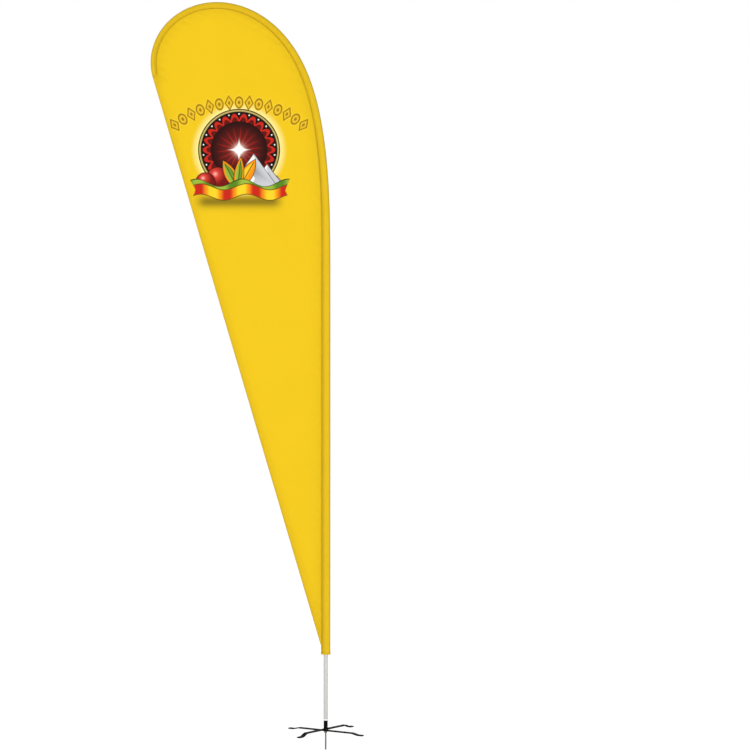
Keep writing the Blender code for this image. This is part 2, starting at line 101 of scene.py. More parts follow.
class Cap(Enum):
    """How the two ends of a swept surface are closed."""

    OPEN = "open"
    FLAT = "flat"


# ------------------------------------------------------------------ surfaces


def quads(rows: int, columns: int, wrap: bool = False) -> Array:
    """Corner numbers of the quads of a grid whose points run row by row.

    Args:
        rows: number of rows of points.
        columns: number of points in a row.
        wrap: whether the last column joins the first.

    Returns:
        An array of four corner numbers for each quad.
    """
    row = np.arange(rows - 1)[:, None] * columns
    here = np.arange(columns if wrap else columns - 1)[None, :]
    there = (here + 1) % columns
    corners = [row + here, row + columns + here, row + columns + there, row + there]
    return np.stack(corners, axis=-1).reshape(-1, 4)


def mesh_object(
    name: str,
    points: Array,
    faces: Array | list[Array],
    corner_uv: Array | None = None,
    marks: dict[str, Array] | None = None,
    sharp: float = 40.0,
) -> bpy.types.Object:
    """A mesh object at the origin made from whole arrays.

    Args:
        name: the piece's name.
        points: one place for each vertex, in metres.
        faces: corner numbers, an array for each number of corners.
        corner_uv: one UV place for each face corner, in the faces' order.
        marks: named numbers, one for each vertex, for materials to read.
        sharp: edges that turn more than this many degrees stay crisp.

    Returns:
        The new object, linked to the scene.
    """
    groups = faces if isinstance(faces, list) else [faces]
    flat = np.concatenate([group.reshape(-1) for group in groups])
    sizes = np.concatenate([np.full(len(group), group.shape[1]) for group in groups])
    starts = np.concatenate([[0], np.cumsum(sizes)[:-1]])
    mesh = bpy.data.meshes.new(name)
    mesh.vertices.add(len(points))
    mesh.vertices.foreach_set("co", points.astype(np.float32).reshape(-1))
    mesh.loops.add(len(flat))
    mesh.loops.foreach_set("vertex_index", flat.astype(np.int32))
    mesh.polygons.add(len(sizes))
    mesh.polygons.foreach_set("loop_start", starts.astype(np.int32))
    if corner_uv is not None:
        layer = mesh.uv_layers.new(name="cloth")
        layer.data.foreach_set("uv", corner_uv.astype(np.float32).reshape(-1))
    for mark, values in (marks or {}).items():
        layer = mesh.attributes.new(mark, "FLOAT", "POINT")
        layer.data.foreach_set("value", values.astype(np.float32).reshape(-1))
    mesh.update(calc_edges=True)
    mesh.validate()
    mesh.shade_smooth()
    mesh.set_sharp_from_angle(angle=math.radians(sharp))
    piece = bpy.data.objects.new(name, mesh)
    bpy.context.scene.collection.objects.link(piece)
    return piece


def grid_object(
    name: str,
    grid: Array,
    uv: Array | None = None,
    wrap: bool = False,
    cap: Cap = Cap.OPEN,
    marks: dict[str, Array] | None = None,
    sharp: float = 40.0,
) -> bpy.types.Object:
    """A surface from a grid of points of shape (rows, columns, 3).

    A wrapped grid's UV has one more column than its points, so that the
    pattern runs on across the join.

    Args:
        name: the piece's name.
        grid: the surface's points.
        uv: UV places of shape (rows, columns, 2), or one column more.
        wrap: whether the last column joins the first.
        cap: whether the first and last rows are closed by flat faces.
        marks: named numbers of shape (rows, columns).
        sharp: edges that turn more than this many degrees stay crisp.

    Returns:
        The new object.
    """
    rows, columns = grid.shape[:2]
    faces = [quads(rows, columns, wrap)]
    corner_uv = None
    if uv is not None:
        wide = uv.shape[1]
        order = quads(rows, wide).reshape(-1)
        corner_uv = uv.reshape(-1, 2)[order]
    if cap is Cap.FLAT:
        first = np.arange(columns)[None, :]
        last = (rows - 1) * columns + np.arange(columns)[::-1][None, :]
        faces.append(np.concatenate([first, last]))
        if corner_uv is not None:
            extra = np.zeros((2 * columns, 2))
            corner_uv = np.concatenate([corner_uv, extra])
    piece = mesh_object(name, grid.reshape(-1, 3), faces, corner_uv, marks, sharp)
    if cap is Cap.FLAT:
        face_outwards(piece)
    return piece


def face_outwards(piece: bpy.types.Object) -> None:
    """Turn the faces of a closed mesh outwards, after merging its doubles.

    Args:
        piece: the closed mesh.
    """
    shape = bmesh.new()
    shape.from_mesh(piece.data)
    bmesh.ops.remove_doubles(shape, verts=shape.verts, dist=0.000001)
    bmesh.ops.recalc_face_normals(shape, faces=shape.faces)
    shape.to_mesh(piece.data)
    shape.free()


def bend(start: Array, corner: Array, end: Array, t: Array) -> Array:
    """A curve from start to end with weights (1-t)^2, 2t(1-t) and t^2."""
    return (1 - t) ** 2 * start + 2 * t * (1 - t) * corner + t**2 * end


def bell(gap: Array, width: float) -> Array:
    """1 at no gap, e^-1 at the width, and nothing far away."""
    return np.exp(-((gap / width) ** 2))


def rounded(profile: list[tuple[float, float]], radius: float, steps: int = 4) -> Array:
    """A closed outline with every corner replaced by a small round.

    Each corner becomes a curve from a point before it to a point after it,
    pulled towards the corner: the weights are (1-t)^2, 2t(1-t) and t^2.
    The curve starts no further from the corner than 0.45 of either side.  A
    corner on the axis, with nothing for its first number, stays sharp.

    Args:
        profile: the outline's corners in order.
        radius: how far from the corner the round starts.
        steps: how many stretches each round has.

    Returns:
        The outline's points, of shape (corners * (steps + 1), 2).
    """
    corners = np.array(profile, dtype=float)
    before = np.roll(corners, 1, axis=0) - corners
    after = np.roll(corners, -1, axis=0) - corners
    back = np.linalg.norm(before, axis=1, keepdims=True)
    ahead = np.linalg.norm(after, axis=1, keepdims=True)
    reach = np.minimum(radius * (corners[:, :1] > 0.0), 0.45 * np.minimum(back, ahead))
    start = corners + before / back * reach
    end = corners + after / ahead * reach
    t = np.linspace(0.0, 1.0, steps + 1)[None, :, None]
    return bend(start[:, None], corners[:, None], end[:, None], t).reshape(-1, 2)


def lathe(
    name: str,
    profile: list[tuple[float, float]],
    edge: float = 0.0004,
    sides: int = 64,
    steps: int = 4,
) -> bpy.types.Object:
    """Turn a closed outline of (radius, height) corners about the Z axis.

    A point at radius r and height z goes to (r cos a, r sin a, z) for even
    angles a.  A hollow piece's outline closes on itself.  A solid piece's
    outline ends with two corners on the axis, the lower one first, and each
    of them becomes one point.

    Args:
        name: the piece's name.
        profile: corners, down the outer side and up the inner side or axis.
        edge: size of the round on each corner.
        sides: number of columns round the axis.
        steps: stretches in each round.

    Returns:
        The new object, a closed mesh.
    """
    outline = rounded(profile, edge, steps)
    if profile[-1][0] == 0.0:
        outline = np.roll(outline, steps + 1, axis=0)
    else:
        outline = np.concatenate([outline, outline[:1]])
    angle = np.linspace(0.0, 2 * math.pi, sides, endpoint=False)[None, :]
    radius, height = outline[:, :1], outline[:, 1:]
    x = radius * np.cos(angle)
    y = radius * np.sin(angle)
    z = height + np.zeros_like(angle)
    piece = grid_object(name, np.stack([x, y, z], axis=-1), wrap=True)
    face_outwards(piece)
    return piece


def add_thickness(piece: bpy.types.Object, thickness: float, offset: float) -> None:
    """Give an open surface the thickness of its cloth or wall.

    Args:
        piece: the open surface.
        thickness: its thickness in metres.
        offset: -1 to 1, for the side that it grows to.
    """
    shell = piece.modifiers.new("thickness", "SOLIDIFY")
    shell.thickness = thickness
    shell.offset = offset
    shell.use_even_offset = False


def repeat_shape(
    name: str, shape: Array, faces: Array, frames: Array, places: Array
) -> bpy.types.Object:
    """Many copies of one small shape in a single mesh.

    Each copy's points are the shape's points turned by its own frame of
    three axes and moved to its own place.

    Args:
        name: the piece's name.
        shape: the small shape's points, of shape (n, 3).
        faces: its corner numbers.
        frames: three axes as columns for each copy, of shape (m, 3, 3).
        places: a place for each copy, of shape (m, 3).

    Returns:
        The new object.
    """
    points = np.einsum("mij,nj->mni", frames, shape) + places[:, None, :]
    shift = np.arange(len(places))[:, None, None] * len(shape)
    many = (faces[None] + shift).reshape(-1, faces.shape[1])
    return mesh_object(name, points.reshape(-1, 3), many, sharp=80.0)


# ----------------------------------------------------------------- materials


class Sketch:
    """A material's node tree, with short calls for the nodes it needs."""

    def __init__(self, name: str) -> None:
        """Start an empty material with one Principled shader.

        Args:
            name: the new material's name.
        """
        self.material = bpy.data.materials.new(name)
        self.material.use_nodes = True
        self.tree = self.material.node_tree
        self.shader = self.tree.nodes["Principled BSDF"]

    def node(self, kind: str, **settings: object) -> bpy.types.Node:
        """Add a node of a kind, with its settings.

        Args:
            kind: the node's type.
            settings: its settings by name.

        Returns:
            The new node.
        """
        made = self.tree.nodes.new(kind)
        for key, value in settings.items():
            setattr(made, key, value)
        return made

    def feed(self, socket: bpy.types.NodeSocket, value: object) -> None:
        """Put a number, a colour, a Signal or another node's output in a socket.

        Args:
            socket: the socket to fill.
            value: what goes in.
        """
        if isinstance(value, Signal):
            self.tree.links.new(value.socket, socket)
        elif isinstance(value, bpy.types.NodeSocket):
            self.tree.links.new(value, socket)
        elif isinstance(value, tuple) and len(value) == 3 and socket.type == "RGBA":
            socket.default_value = (*value, 1.0)
        else:
            socket.default_value = value

    def number(self, operation: str, *values: object) -> "Signal":
        """A Math node on numbers or signals.

        Args:
            operation: the node's operation.
            values: its inputs in order.

        Returns:
            The result.
        """
        made = self.node("ShaderNodeMath", operation=operation)
        for socket, value in zip(made.inputs, values):
            self.feed(socket, value)
        return Signal(self, made.outputs[0])

    def place(self) -> tuple["Signal", "Signal", "Signal"]:
        """The X, Y and Z of the point being shaded, in the flag's own frame.

        Returns:
            Three signals, in metres.
        """
        source = self.node("ShaderNodeTexCoord")
        split = self.node("ShaderNodeSeparateXYZ")
        self.feed(split.inputs[0], source.outputs["Object"])
        return tuple(Signal(self, split.outputs[i]) for i in range(3))

    def cloth_place(self) -> tuple["Signal", "Signal"]:
        """The point's place on the cloth in metres: across it and along it.

        Returns:
            Two signals, in metres.
        """
        source = self.node("ShaderNodeUVMap", uv_map="cloth")
        split = self.node("ShaderNodeSeparateXYZ")
        self.feed(split.inputs[0], source.outputs[0])
        return Signal(self, split.outputs[0]), Signal(self, split.outputs[1])

    def mark(self, name: str) -> "Signal":
        """A number that the piece's own vertices carry."""
        source = self.node("ShaderNodeAttribute", attribute_name=name)
        return Signal(self, source.outputs["Fac"])

    def noise(
        self,
        scale: float,
        detail: float = 3.0,
        stretch: tuple[float, float, float] = (1.0, 1.0, 1.0),
        roughness: float = 0.55,
    ) -> "Signal":
        """Even noise from 0 to 1 in the flag's own frame; scale is per metre.

        Args:
            scale: how fine it is, per metre.
            detail: how many finer layers it has.
            stretch: the scale of each axis.
            roughness: strength of the finer layers.

        Returns:
            The noise.
        """
        source = self.node("ShaderNodeTexCoord")
        mapping = self.node("ShaderNodeMapping")
        mapping.inputs["Scale"].default_value = stretch
        self.feed(mapping.inputs["Vector"], source.outputs["Object"])
        made = self.node("ShaderNodeTexNoise")
        self.feed(made.inputs["Vector"], mapping.outputs[0])
        made.inputs["Scale"].default_value = scale
        made.inputs["Detail"].default_value = detail
        made.inputs["Roughness"].default_value = roughness
        return Signal(self, made.outputs["Fac"])

    def paint(self, share: "Signal", under: object, over: object) -> bpy.types.NodeSocket:
        """Lay one colour over another by a share from 0 to 1.

        Args:
            share: how much of the upper colour shows.
            under: the lower colour.
            over: the upper colour.

        Returns:
            The mixed colour.
        """
        made = self.node("ShaderNodeMix", data_type="RGBA", clamp_factor=True)
        self.feed(made.inputs["Factor"], share)
        self.feed(made.inputs[6], under)
        self.feed(made.inputs[7], over)
        return made.outputs[2]

    def shade(self, colour: object, share: object, amount: float) -> bpy.types.NodeSocket:
        """Darken a colour by a share of an amount.

        Args:
            colour: the colour to darken.
            share: the share, from 0 to 1.
            amount: how dark a full share makes it.

        Returns:
            The darker colour.
        """
        dark = self.node("ShaderNodeMix", data_type="RGBA", blend_type="MULTIPLY")
        level = 1.0 - amount
        self.feed(dark.inputs["Factor"], share)
        self.feed(dark.inputs[6], colour)
        dark.inputs[7].default_value = (level, level, level, 1.0)
        return dark.outputs[2]

    def side(self) -> "Signal":
        """1 on the face that looks to the front, -1 on the one to the back.

        Returns:
            The side, as a signal.
        """
        source = self.node("ShaderNodeTexCoord")
        split = self.node("ShaderNodeSeparateXYZ")
        self.feed(split.inputs[0], source.outputs["Normal"])
        front = self.number("LESS_THAN", Signal(self, split.outputs[1]), 0.0)
        return front * 2.0 - 1.0

    def relief(self, *layers: tuple["Signal", float]) -> None:
        """Bump the surface by several heights, each with its depth in metres.

        Args:
            layers: each height with its depth.
        """
        below = None
        for height, depth in layers:
            made = self.node("ShaderNodeBump")
            made.inputs["Strength"].default_value = 1.0
            made.inputs["Distance"].default_value = depth
            self.feed(made.inputs["Height"], height)
            if below is not None:
                self.feed(made.inputs["Normal"], below)
            below = made.outputs[0]
        self.feed(self.shader.inputs["Normal"], below)

    def set(self, **sockets: object) -> "Sketch":
        """Set the shader's sockets, named with underscores for spaces.

        Args:
            sockets: the sockets' values by name.

        Returns:
            The sketch itself.
        """
        for key, value in sockets.items():
            self.feed(self.shader.inputs[key.replace("_", " ")], value)
        return self


@dataclass(frozen=True)
class Signal:
    """A number that varies over the surface, with arithmetic on it."""

    sketch: Sketch
    socket: bpy.types.NodeSocket

    def __add__(self, other: object) -> "Signal":
        """The sum."""
        return self.sketch.number("ADD", self, other)

    def __sub__(self, other: object) -> "Signal":
        """The difference."""
        return self.sketch.number("SUBTRACT", self, other)

    def __mul__(self, other: object) -> "Signal":
        """The product."""
        return self.sketch.number("MULTIPLY", self, other)

    def __truediv__(self, other: object) -> "Signal":
        """The quotient."""
        return self.sketch.number("DIVIDE", self, other)

    def size(self) -> "Signal":
        """The number without its sign."""
        return self.sketch.number("ABSOLUTE", self)

    def sine(self) -> "Signal":
        """The sine of the number in radians."""
        return self.sketch.number("SINE", self)

    def nearest(self) -> "Signal":
        """The nearest whole number."""
        return self.sketch.number("ROUND", self)

    def lesser(self, other: object) -> "Signal":
        """The smaller of two."""
        return self.sketch.number("MINIMUM", self, other)

    def greater(self, other: object) -> "Signal":
        """The larger of two."""
        return self.sketch.number("MAXIMUM", self, other)

    def root(self) -> "Signal":
        """The square root."""
        return self.sketch.number("SQRT", self)

    def near(self, width: float) -> "Signal":
        """A bell: 1 at nothing, e^-1 at the width, and 0 far away."""
        scaled = self / width
        return self.sketch.number("EXPONENT", scaled * scaled * -1.0)

    def step(self, low: float, high: float, first: float, last: float) -> "Signal":
        """A smooth step from one number to another.

        Args:
            low: where the step starts.
            high: where it ends.
            first: the number below low.
            last: the number above high.

        Returns:
            The stepped signal.
        """
        made = self.sketch.node("ShaderNodeMapRange", interpolation_type="SMOOTHSTEP")
        limits = {"From Min": low, "From Max": high, "To Min": first, "To Max": last}
        for key, value in limits.items():
            made.inputs[key].default_value = value
        self.sketch.feed(made.inputs["Value"], self)
        return Signal(self.sketch, made.outputs[0])

    def rise(self, low: float, high: float) -> "Signal":
        """0 below low, 1 above high, with a smooth step between them."""
        return self.step(low, high, 0.0, 1.0)

    def fall(self, low: float, high: float) -> "Signal":
        """1 below low, 0 above high, with a smooth step between them."""
        return self.step(low, high, 1.0, 0.0)


def distance(a: Signal, b: Signal) -> Signal:
    """The length of a step of a along one axis and b along the other."""
    return a.sketch.number("SQRT", a * a + b * b)


@dataclass(frozen=True)
class PowderCoat:
    """Satin black powder coat on steel, lighter brown along its edges: partly wear, partly a
    painted highlight.
    """

    colour: Colour = (0.0035, 0.0030, 0.0028)
    wear_highlight_colour: Colour = (0.034, 0.031, 0.028)
    peel_scale: float = 900.0
    peel_depth: float = 0.00006

    def make(self, name: str) -> bpy.types.Material:
        """Build the material.

        Args:
            name: the new material's name.

        Returns:
            The material.
        """
        sketch = Sketch(name)
        patch = sketch.noise(38.0, 4.0)
        # lighter brown patches on the rounded edges: partly wear, partly a painted highlight
        wear_and_highlight = sketch.mark("edge_wear_and_highlight") * patch.rise(0.42, 0.62)
        dust = sketch.noise(160.0, 5.0).rise(0.55, 0.85) * 0.06
        dusty = sketch.paint(dust, self.colour, (0.07, 0.065, 0.06))
        peel = sketch.noise(self.peel_scale, 2.0)
        sketch.set(
            Base_Color=sketch.paint(wear_and_highlight, dusty, self.wear_highlight_colour),
            Roughness=patch * 0.20 + 0.48,
            Metallic=0.0,
            Specular_IOR_Level=0.05,
        )
        sketch.relief((peel, self.peel_depth))
        return sketch.material


@dataclass(frozen=True)
class ZincPlate:
    """Dull zinc-plated steel, turned, darker brown in patches towards a low point."""

    colour: Colour = (0.190, 0.184, 0.174)
    bottom_colour: Colour = (0.035, 0.032, 0.028)
    darkening_top: float = -0.084
    darkening_bottom: float = -0.095

    def make(self, name: str) -> bpy.types.Material:
        """Build the material.

        Args:
            name: the new material's name.

        Returns:
            The material.
        """
        sketch = Sketch(name)
        _, _, z = sketch.place()
        cloud = sketch.noise(120.0, 5.0)
        turned = sketch.noise(300.0, 2.0, (0.02, 0.02, 9.0))
        tint = sketch.paint(cloud.rise(0.35, 0.75), self.colour, (0.140, 0.128, 0.114))
        # darker in patches towards the bottom
        low = z.fall(self.darkening_bottom, self.darkening_top)
        low_darkening = low * cloud.rise(0.20, 0.48)
        sketch.set(
            Base_Color=sketch.paint(low_darkening, tint, self.bottom_colour),
            Roughness=cloud * 0.30 + 0.30,
            Metallic=0.85,
        )
        sketch.relief((turned, 0.00006), (cloud, 0.00008))
        return sketch.material


@dataclass(frozen=True)
class AnodisedTube:
    """Pale satin anodised aluminium, drawn along its length."""

    colour: Colour = (0.56, 0.565, 0.54)
    draw_depth: float = 0.000025

    def make(self, name: str) -> bpy.types.Material:
        """Build the material.

        Args:
            name: the new material's name.

        Returns:
            The material.
        """
        sketch = Sketch(name)
        drawn = sketch.noise(1400.0, 3.0, (1.0, 1.0, 0.006))
        cloud = sketch.noise(14.0, 3.0)
        scuff = sketch.noise(420.0, 2.0, (1.0, 1.0, 0.25)).rise(0.66, 0.74) * 0.35
        tint = sketch.paint(cloud, self.colour, (0.52, 0.52, 0.50))
        sketch.set(
            Base_Color=sketch.paint(scuff, tint, (0.45, 0.45, 0.43)),
            Roughness=drawn * 0.16 + cloud * 0.08 + 0.24,
            Metallic=0.30,
            Specular_IOR_Level=0.20,
        )
        sketch.relief((drawn, self.draw_depth))
        return sketch.material


@dataclass(frozen=True)
class MouldedNylon:
    """White moulded nylon with faint mould texture and handling marks."""

    colour: Colour = (0.84, 0.84, 0.82)

    def make(self, name: str) -> bpy.types.Material:
        """Build the material.

        Args:
            name: the new material's name.

        Returns:
            The material.
        """
        sketch = Sketch(name)
        cloud = sketch.noise(90.0, 4.0)
        grain = sketch.noise(2200.0, 2.0)
        marks = cloud.rise(0.55, 0.80) * 0.35
        sketch.set(
            Base_Color=sketch.paint(marks, self.colour, (0.74, 0.73, 0.69)),
            Roughness=cloud * 0.20 + 0.34,
            Subsurface_Weight=0.08,
            Subsurface_Scale=0.004,
        )
        sketch.relief((grain, 0.00003))
        return sketch.material


@dataclass(frozen=True)
class DrawnRod:
    """Pultruded fibreglass or rubber: dark, with fibres along the rod."""

    colour: Colour = (0.030, 0.030, 0.030)
    roughness: float = 0.34
    fibre: float = 0.00004

    def make(self, name: str) -> bpy.types.Material:
        """Build the material.

        Args:
            name: the new material's name.

        Returns:
            The material.
        """
        sketch = Sketch(name)
        strand = sketch.noise(1100.0, 3.0, (1.0, 1.0, 0.03))
        cloud = sketch.noise(60.0, 3.0)
        sketch.set(
            Base_Color=sketch.paint(strand.rise(0.4, 0.7), self.colour, (0.07, 0.07, 0.065)),
            Roughness=cloud * 0.20 + self.roughness,
        )
        sketch.relief((strand, self.fibre))
        return sketch.material


@dataclass(frozen=True)
class Webbing:
    """Black woven tape, with painted shade in the weave's hollows."""

    colour: Colour = (0.018, 0.018, 0.019)
    pitch: float = 0.0009

    def make(self, name: str) -> bpy.types.Material:
        """Build the material.

        Args:
            name: the new material's name.

        Returns:
            The material.
        """
        sketch = Sketch(name)
        x, y, z = sketch.place()
        turn = math.pi / self.pitch
        ribs = ((z + y) * turn).sine() * ((x + y * 0.5) * turn).sine()
        # darker where the weave is low: painted shade in its hollows
        sketch.set(
            Base_Color=sketch.paint(ribs.rise(-0.6, 0.8), (0.008, 0.008, 0.008), self.colour),
            Roughness=0.85,
            Sheen_Weight=0.15,
        )
        sketch.relief((ribs, 0.0002))
        return sketch.material


@dataclass(frozen=True)
class Thread:
    """Sewing thread with its twist, with painted highlights on the twist's ridges."""

    colour: Colour = (0.50, 0.33, 0.011)
    twist: float = 0.0007

    def make(self, name: str) -> bpy.types.Material:
        """Build the material.

        Args:
            name: the new material's name.

        Returns:
            The material.
        """
        sketch = Sketch(name)
        x, y, z = sketch.place()
        strands = ((x + z + y * 2.0) * (2 * math.pi / self.twist)).sine()
        # lighter on the twist's ridges, darker in its grooves: painted highlight and painted shade
        light = strands.rise(-0.9, 0.9)
        sketch.set(
            Base_Color=sketch.paint(light, self.colour, (0.66, 0.44, 0.016)),
            Roughness=0.70,
            Specular_IOR_Level=0.12,
        )
        sketch.relief((strands, 0.00008))
        return sketch.material


@dataclass(frozen=True)
class Knit:
    """The fine knit of the flag's polyester: rows of small crossed loops."""

    loop: float = 0.0016
    depth: float = 0.00010

    def height(self, sketch: Sketch) -> Signal:
        """The cloth's height: crossed waves on its own across and along.

        Args:
            sketch: the material being made.

        Returns:
            The height, from -1 to 1.
        """
        across, along = sketch.cloth_place()
        turn = 2 * math.pi / self.loop
        ribs = (across * turn).sine()
        rows = (along * turn + ribs * 0.8).sine()
        return ribs * 0.5 + rows * 0.5

    def finish(
        self, sketch: Sketch, colour: object, cloud: Signal, rough: float, swell: float
    ) -> None:
        """Lay the knit over a cloth's colour, with painted shade in its hollows, and give it its
        faint sheen.

        Args:
            sketch: the material being made.
            colour: the cloth's colour so far.
            cloud: slow noise that varies the roughness and the height.
            rough: the least roughness.
            swell: depth of the cloud's relief in metres.
        """
        weave = self.height(sketch)
        # the colour is up to 5% darker where the knit is low: painted shade in its hollows
        sketch.set(
            Base_Color=sketch.shade(colour, weave.fall(-0.9, 0.2), 0.05),
            Roughness=cloud * 0.10 + rough,
            Specular_IOR_Level=0.08,
            Sheen_Weight=0.05,
            Sheen_Roughness=0.5,
            Sheen_Tint=(1.0, 0.80, 0.25, 1.0),
        )
        sketch.relief((cloud, swell), (weave, self.depth))


@dataclass(frozen=True)
class SleeveCloth:
    """Yellow polyester of the sleeve: doubled, so a little darker, with painted shade by its folds
    and seam and over the bend's crown.
    """

    colour: Colour = (0.690, 0.452, 0.0115)
    knit: Knit = field(default_factory=Knit)
    fold_shade_amount: float = 0.36
    crown_shade_amount: float = 0.06

    def make(self, name: str) -> bpy.types.Material:
        """Build the material.

        Args:
            name: the new material's name.

        Returns:
            The material.
        """
        sketch = Sketch(name)
        cloud = sketch.noise(9.0, 4.0)
        colour = sketch.shade(self.colour, cloud.rise(0.35, 0.75), 0.025)
        # painted shade over the crown of the bend
        colour = sketch.shade(colour, sketch.mark("crown_shade"), self.crown_shade_amount)
        # painted shade by the folds and the seam
        colour = sketch.shade(colour, sketch.mark("fold_shade"), self.fold_shade_amount)
        self.knit.finish(sketch, colour, cloud, 0.72, 0.0012)
        return sketch.material


@dataclass(frozen=True)
class Emblem:
    """A round picture printed on the sail: a star over peaks and a ribbon.

    x and z are the disc's centre on the sail and radius is its size, all in
    metres.  Inside the methods, a and b are the place across and above the
    centre in disc radii, and every other length is in disc radii too.
    """

    x: float
    z: float
    radius: float = 0.230
    petals: int = 22
    arch_shapes: int = 7
    arch_radius: float = 2.52
    arch_top: float = 1.155
    arch_step: float = 0.096
    maroon: Colour = (0.170, 0.012, 0.010)
    night: Colour = (0.010, 0.003, 0.003)
    cream: Colour = (0.86, 0.84, 0.80)
    gold: Colour = (0.330, 0.235, 0.045)
    olive: Colour = (0.045, 0.040, 0.008)
    leaf_green: Colour = (0.085, 0.210, 0.014)
    moss: Colour = (0.290, 0.420, 0.040)
    orange: Colour = (0.820, 0.250, 0.006)
    lemon: Colour = (0.850, 0.580, 0.020)
    red: Colour = (0.520, 0.018, 0.008)
    ink: Colour = (0.330, 0.180, 0.0025)
    slate: Colour = (0.160, 0.165, 0.175)

    def over(self, sketch: Sketch, cloth: object) -> bpy.types.NodeSocket:
        """Lay the whole print over the cloth's colour, on either face.

        Args:
            sketch: the material being made.
            cloth: the plain cloth's colour.

        Returns:
            The printed colour.
        """
        x, _, z = sketch.place()
        a = (x - self.x) * sketch.side() / self.radius
        b = (z - self.z) / self.radius
        printed = self.halo(sketch, a, b, cloth)
        printed = self.arch(sketch, a, b, printed)
        printed = self.disc(sketch, a, b, printed)
        printed = self.peaks(sketch, a, b, printed)
        printed = self.hills(sketch, a, b, printed)
        printed = self.leaves(sketch, a, b, printed)
        return self.ribbon(sketch, a, b, printed)

    def halo(self, sketch: Sketch, a: Signal, b: Signal, under: object) -> object:
        """A pale glow outside the rim, and a soft shadow under the ribbon.

        Args:
            sketch: the material being made.
            a: place across the disc, in its radii.
            b: place above its centre, in its radii.
            under: the colour below.

        Returns:
            The colour with the glow.
        """
        glow = distance(a, b).fall(0.98, 1.20) * 0.70
        under = sketch.paint(glow, under, (0.93, 0.83, 0.36))
        shade = (b + 1.26).near(0.15) * (a.size() / 1.12).fall(0.70, 1.05)
        return sketch.paint(shade * 0.72, under, self.olive)

    def arch(self, sketch: Sketch, a: Signal, b: Signal, under: object) -> object:
        """A row of outlined lozenges and rounds on an arc above the disc.

        The angle round the arc's centre is cut into even steps.  A lozenge
        is where |side|/half-width + |out|/half-height is under 1, and a
        round is where the sum of their squares is; they take turns.

        Args:
            sketch: the material being made.
            a: place across the disc, in its radii.
            b: place above its centre, in its radii.
            under: the colour below.

        Returns:
            The colour with the row.
        """
        low = b - self.arch_top + self.arch_radius
        out = (distance(a, low) - self.arch_radius) / 0.195
        steps = sketch.number("ARCTAN2", a, low) / self.arch_step
        cell = steps.nearest()
        side = (steps - cell) / 0.47
        lozenge = side.size() + out.size()
        round_one = distance(side * 1.08, out * 1.30)
        odd = sketch.number("FLOORED_MODULO", cell, 2.0)
        shape = lozenge * odd + round_one * (odd * -1.0 + 1.0)
        inside = cell.size().fall(self.arch_shapes + 0.2, self.arch_shapes + 0.4)
        glow = shape.fall(0.85, 1.35) * inside * 0.35
        under = sketch.paint(glow, under, (0.95, 0.72, 0.10))
        edged = sketch.paint(shape.fall(0.96, 1.06) * inside, under, self.ink)
        heart = sketch.paint(shape.fall(0.66, 0.74) * inside, edged, (0.72, 0.45, 0.022))
        return sketch.paint(shape.fall(0.26, 0.34) * inside, heart, self.ink)

    def disc(self, sketch: Sketch, a: Signal, b: Signal, under: object) -> object:
        """A maroon sky with rays and a star, a dark ring and a gold rim.

        Args:
            sketch: the material being made.
            a: place across the disc, in its radii.
            b: place above its centre, in its radii.
            under: the colour below.

        Returns:
            The colour with the disc.
        """
        reach = distance(a, b)
        turn = sketch.number("ARCTAN2", b, a)
        sky = sketch.paint(reach.rise(0.05, 0.78), self.maroon, self.night)
        rays = (turn * 18.0).sine().rise(0.55, 1.0) * reach.fall(0.10, 0.62)
        sky = sketch.paint(rays * 0.85, sky, self.red)
        sky = sketch.paint(reach.near(0.13) * 0.9, sky, (0.93, 0.62, 0.50))
        across, along = a.size().root(), b.size().root()
        star = (across + along).fall(0.46, 0.62)
        u, v = (a + b).size().root(), (a - b).size().root()
        star = star.greater((u + v).fall(0.40, 0.56))
        sky = sketch.paint(star, sky, self.cream)
        ring = sketch.paint(reach.rise(0.69, 0.70), sky, (0.006, 0.005, 0.005))
        steps = turn * (self.petals / (2 * math.pi))
        side = (steps - steps.nearest()).size()
        petal = (reach - 0.70) / 0.19 + side * side * 3.4
        ring = sketch.paint(petal.fall(0.93, 1.02), ring, self.red)
        ring = sketch.paint(petal.fall(0.48, 0.56), ring, (0.11, 0.006, 0.005))
        dot = distance(side / self.petals * 5.1 - 2.55 / self.petals, reach - 0.875)
        ring = sketch.paint(dot.fall(0.014, 0.022), ring, self.cream)
        ring = sketch.paint(reach.fall(0.69, 0.70), ring, sky)
        rim = sketch.paint(reach.rise(0.925, 0.940), ring, self.gold)
        rim = sketch.paint((reach - 0.955).near(0.012) * 0.7, rim, (0.62, 0.52, 0.20))
        rim = sketch.paint(reach.rise(0.970, 0.980), rim, self.olive)
        return sketch.paint(reach.fall(0.995, 1.005), under, rim)

    def peaks(self, sketch: Sketch, a: Signal, b: Signal, under: object) -> object:
        """Three snowy peaks at the right, each lit on one side.

        A peak is where its height less the slope times the distance from
        its top line, less the place's own height, is over nothing.

        Args:
            sketch: the material being made.
            a: place across the disc, in its radii.
            b: place above its centre, in its radii.
            under: the colour below.

        Returns:
            The colour with the peaks.
        """
        zigzag = (b * 38.0).sine() * 0.018
        for middle, top, slope in ((0.92, -0.62, 1.2), (0.68, -0.34, 1.3), (0.36, -0.08, 1.4)):
            side = a - middle
            body = (side.size() * -slope - b + top).lesser(b + 0.92)
            body = body.lesser(a * -1.0 + 1.06)
            shape = body.rise(-0.006, 0.006)
            edge = body.rise(0.020, 0.034)
            under = sketch.paint(shape, under, (0.05, 0.05, 0.055))
            under = sketch.paint(edge, under, self.cream)
            dark = (side + zigzag).rise(-0.01, 0.02) * edge
            grey = sketch.paint(body.rise(0.05, 0.60), (0.52, 0.53, 0.55), self.slate)
            under = sketch.paint(dark, under, grey)
        return under

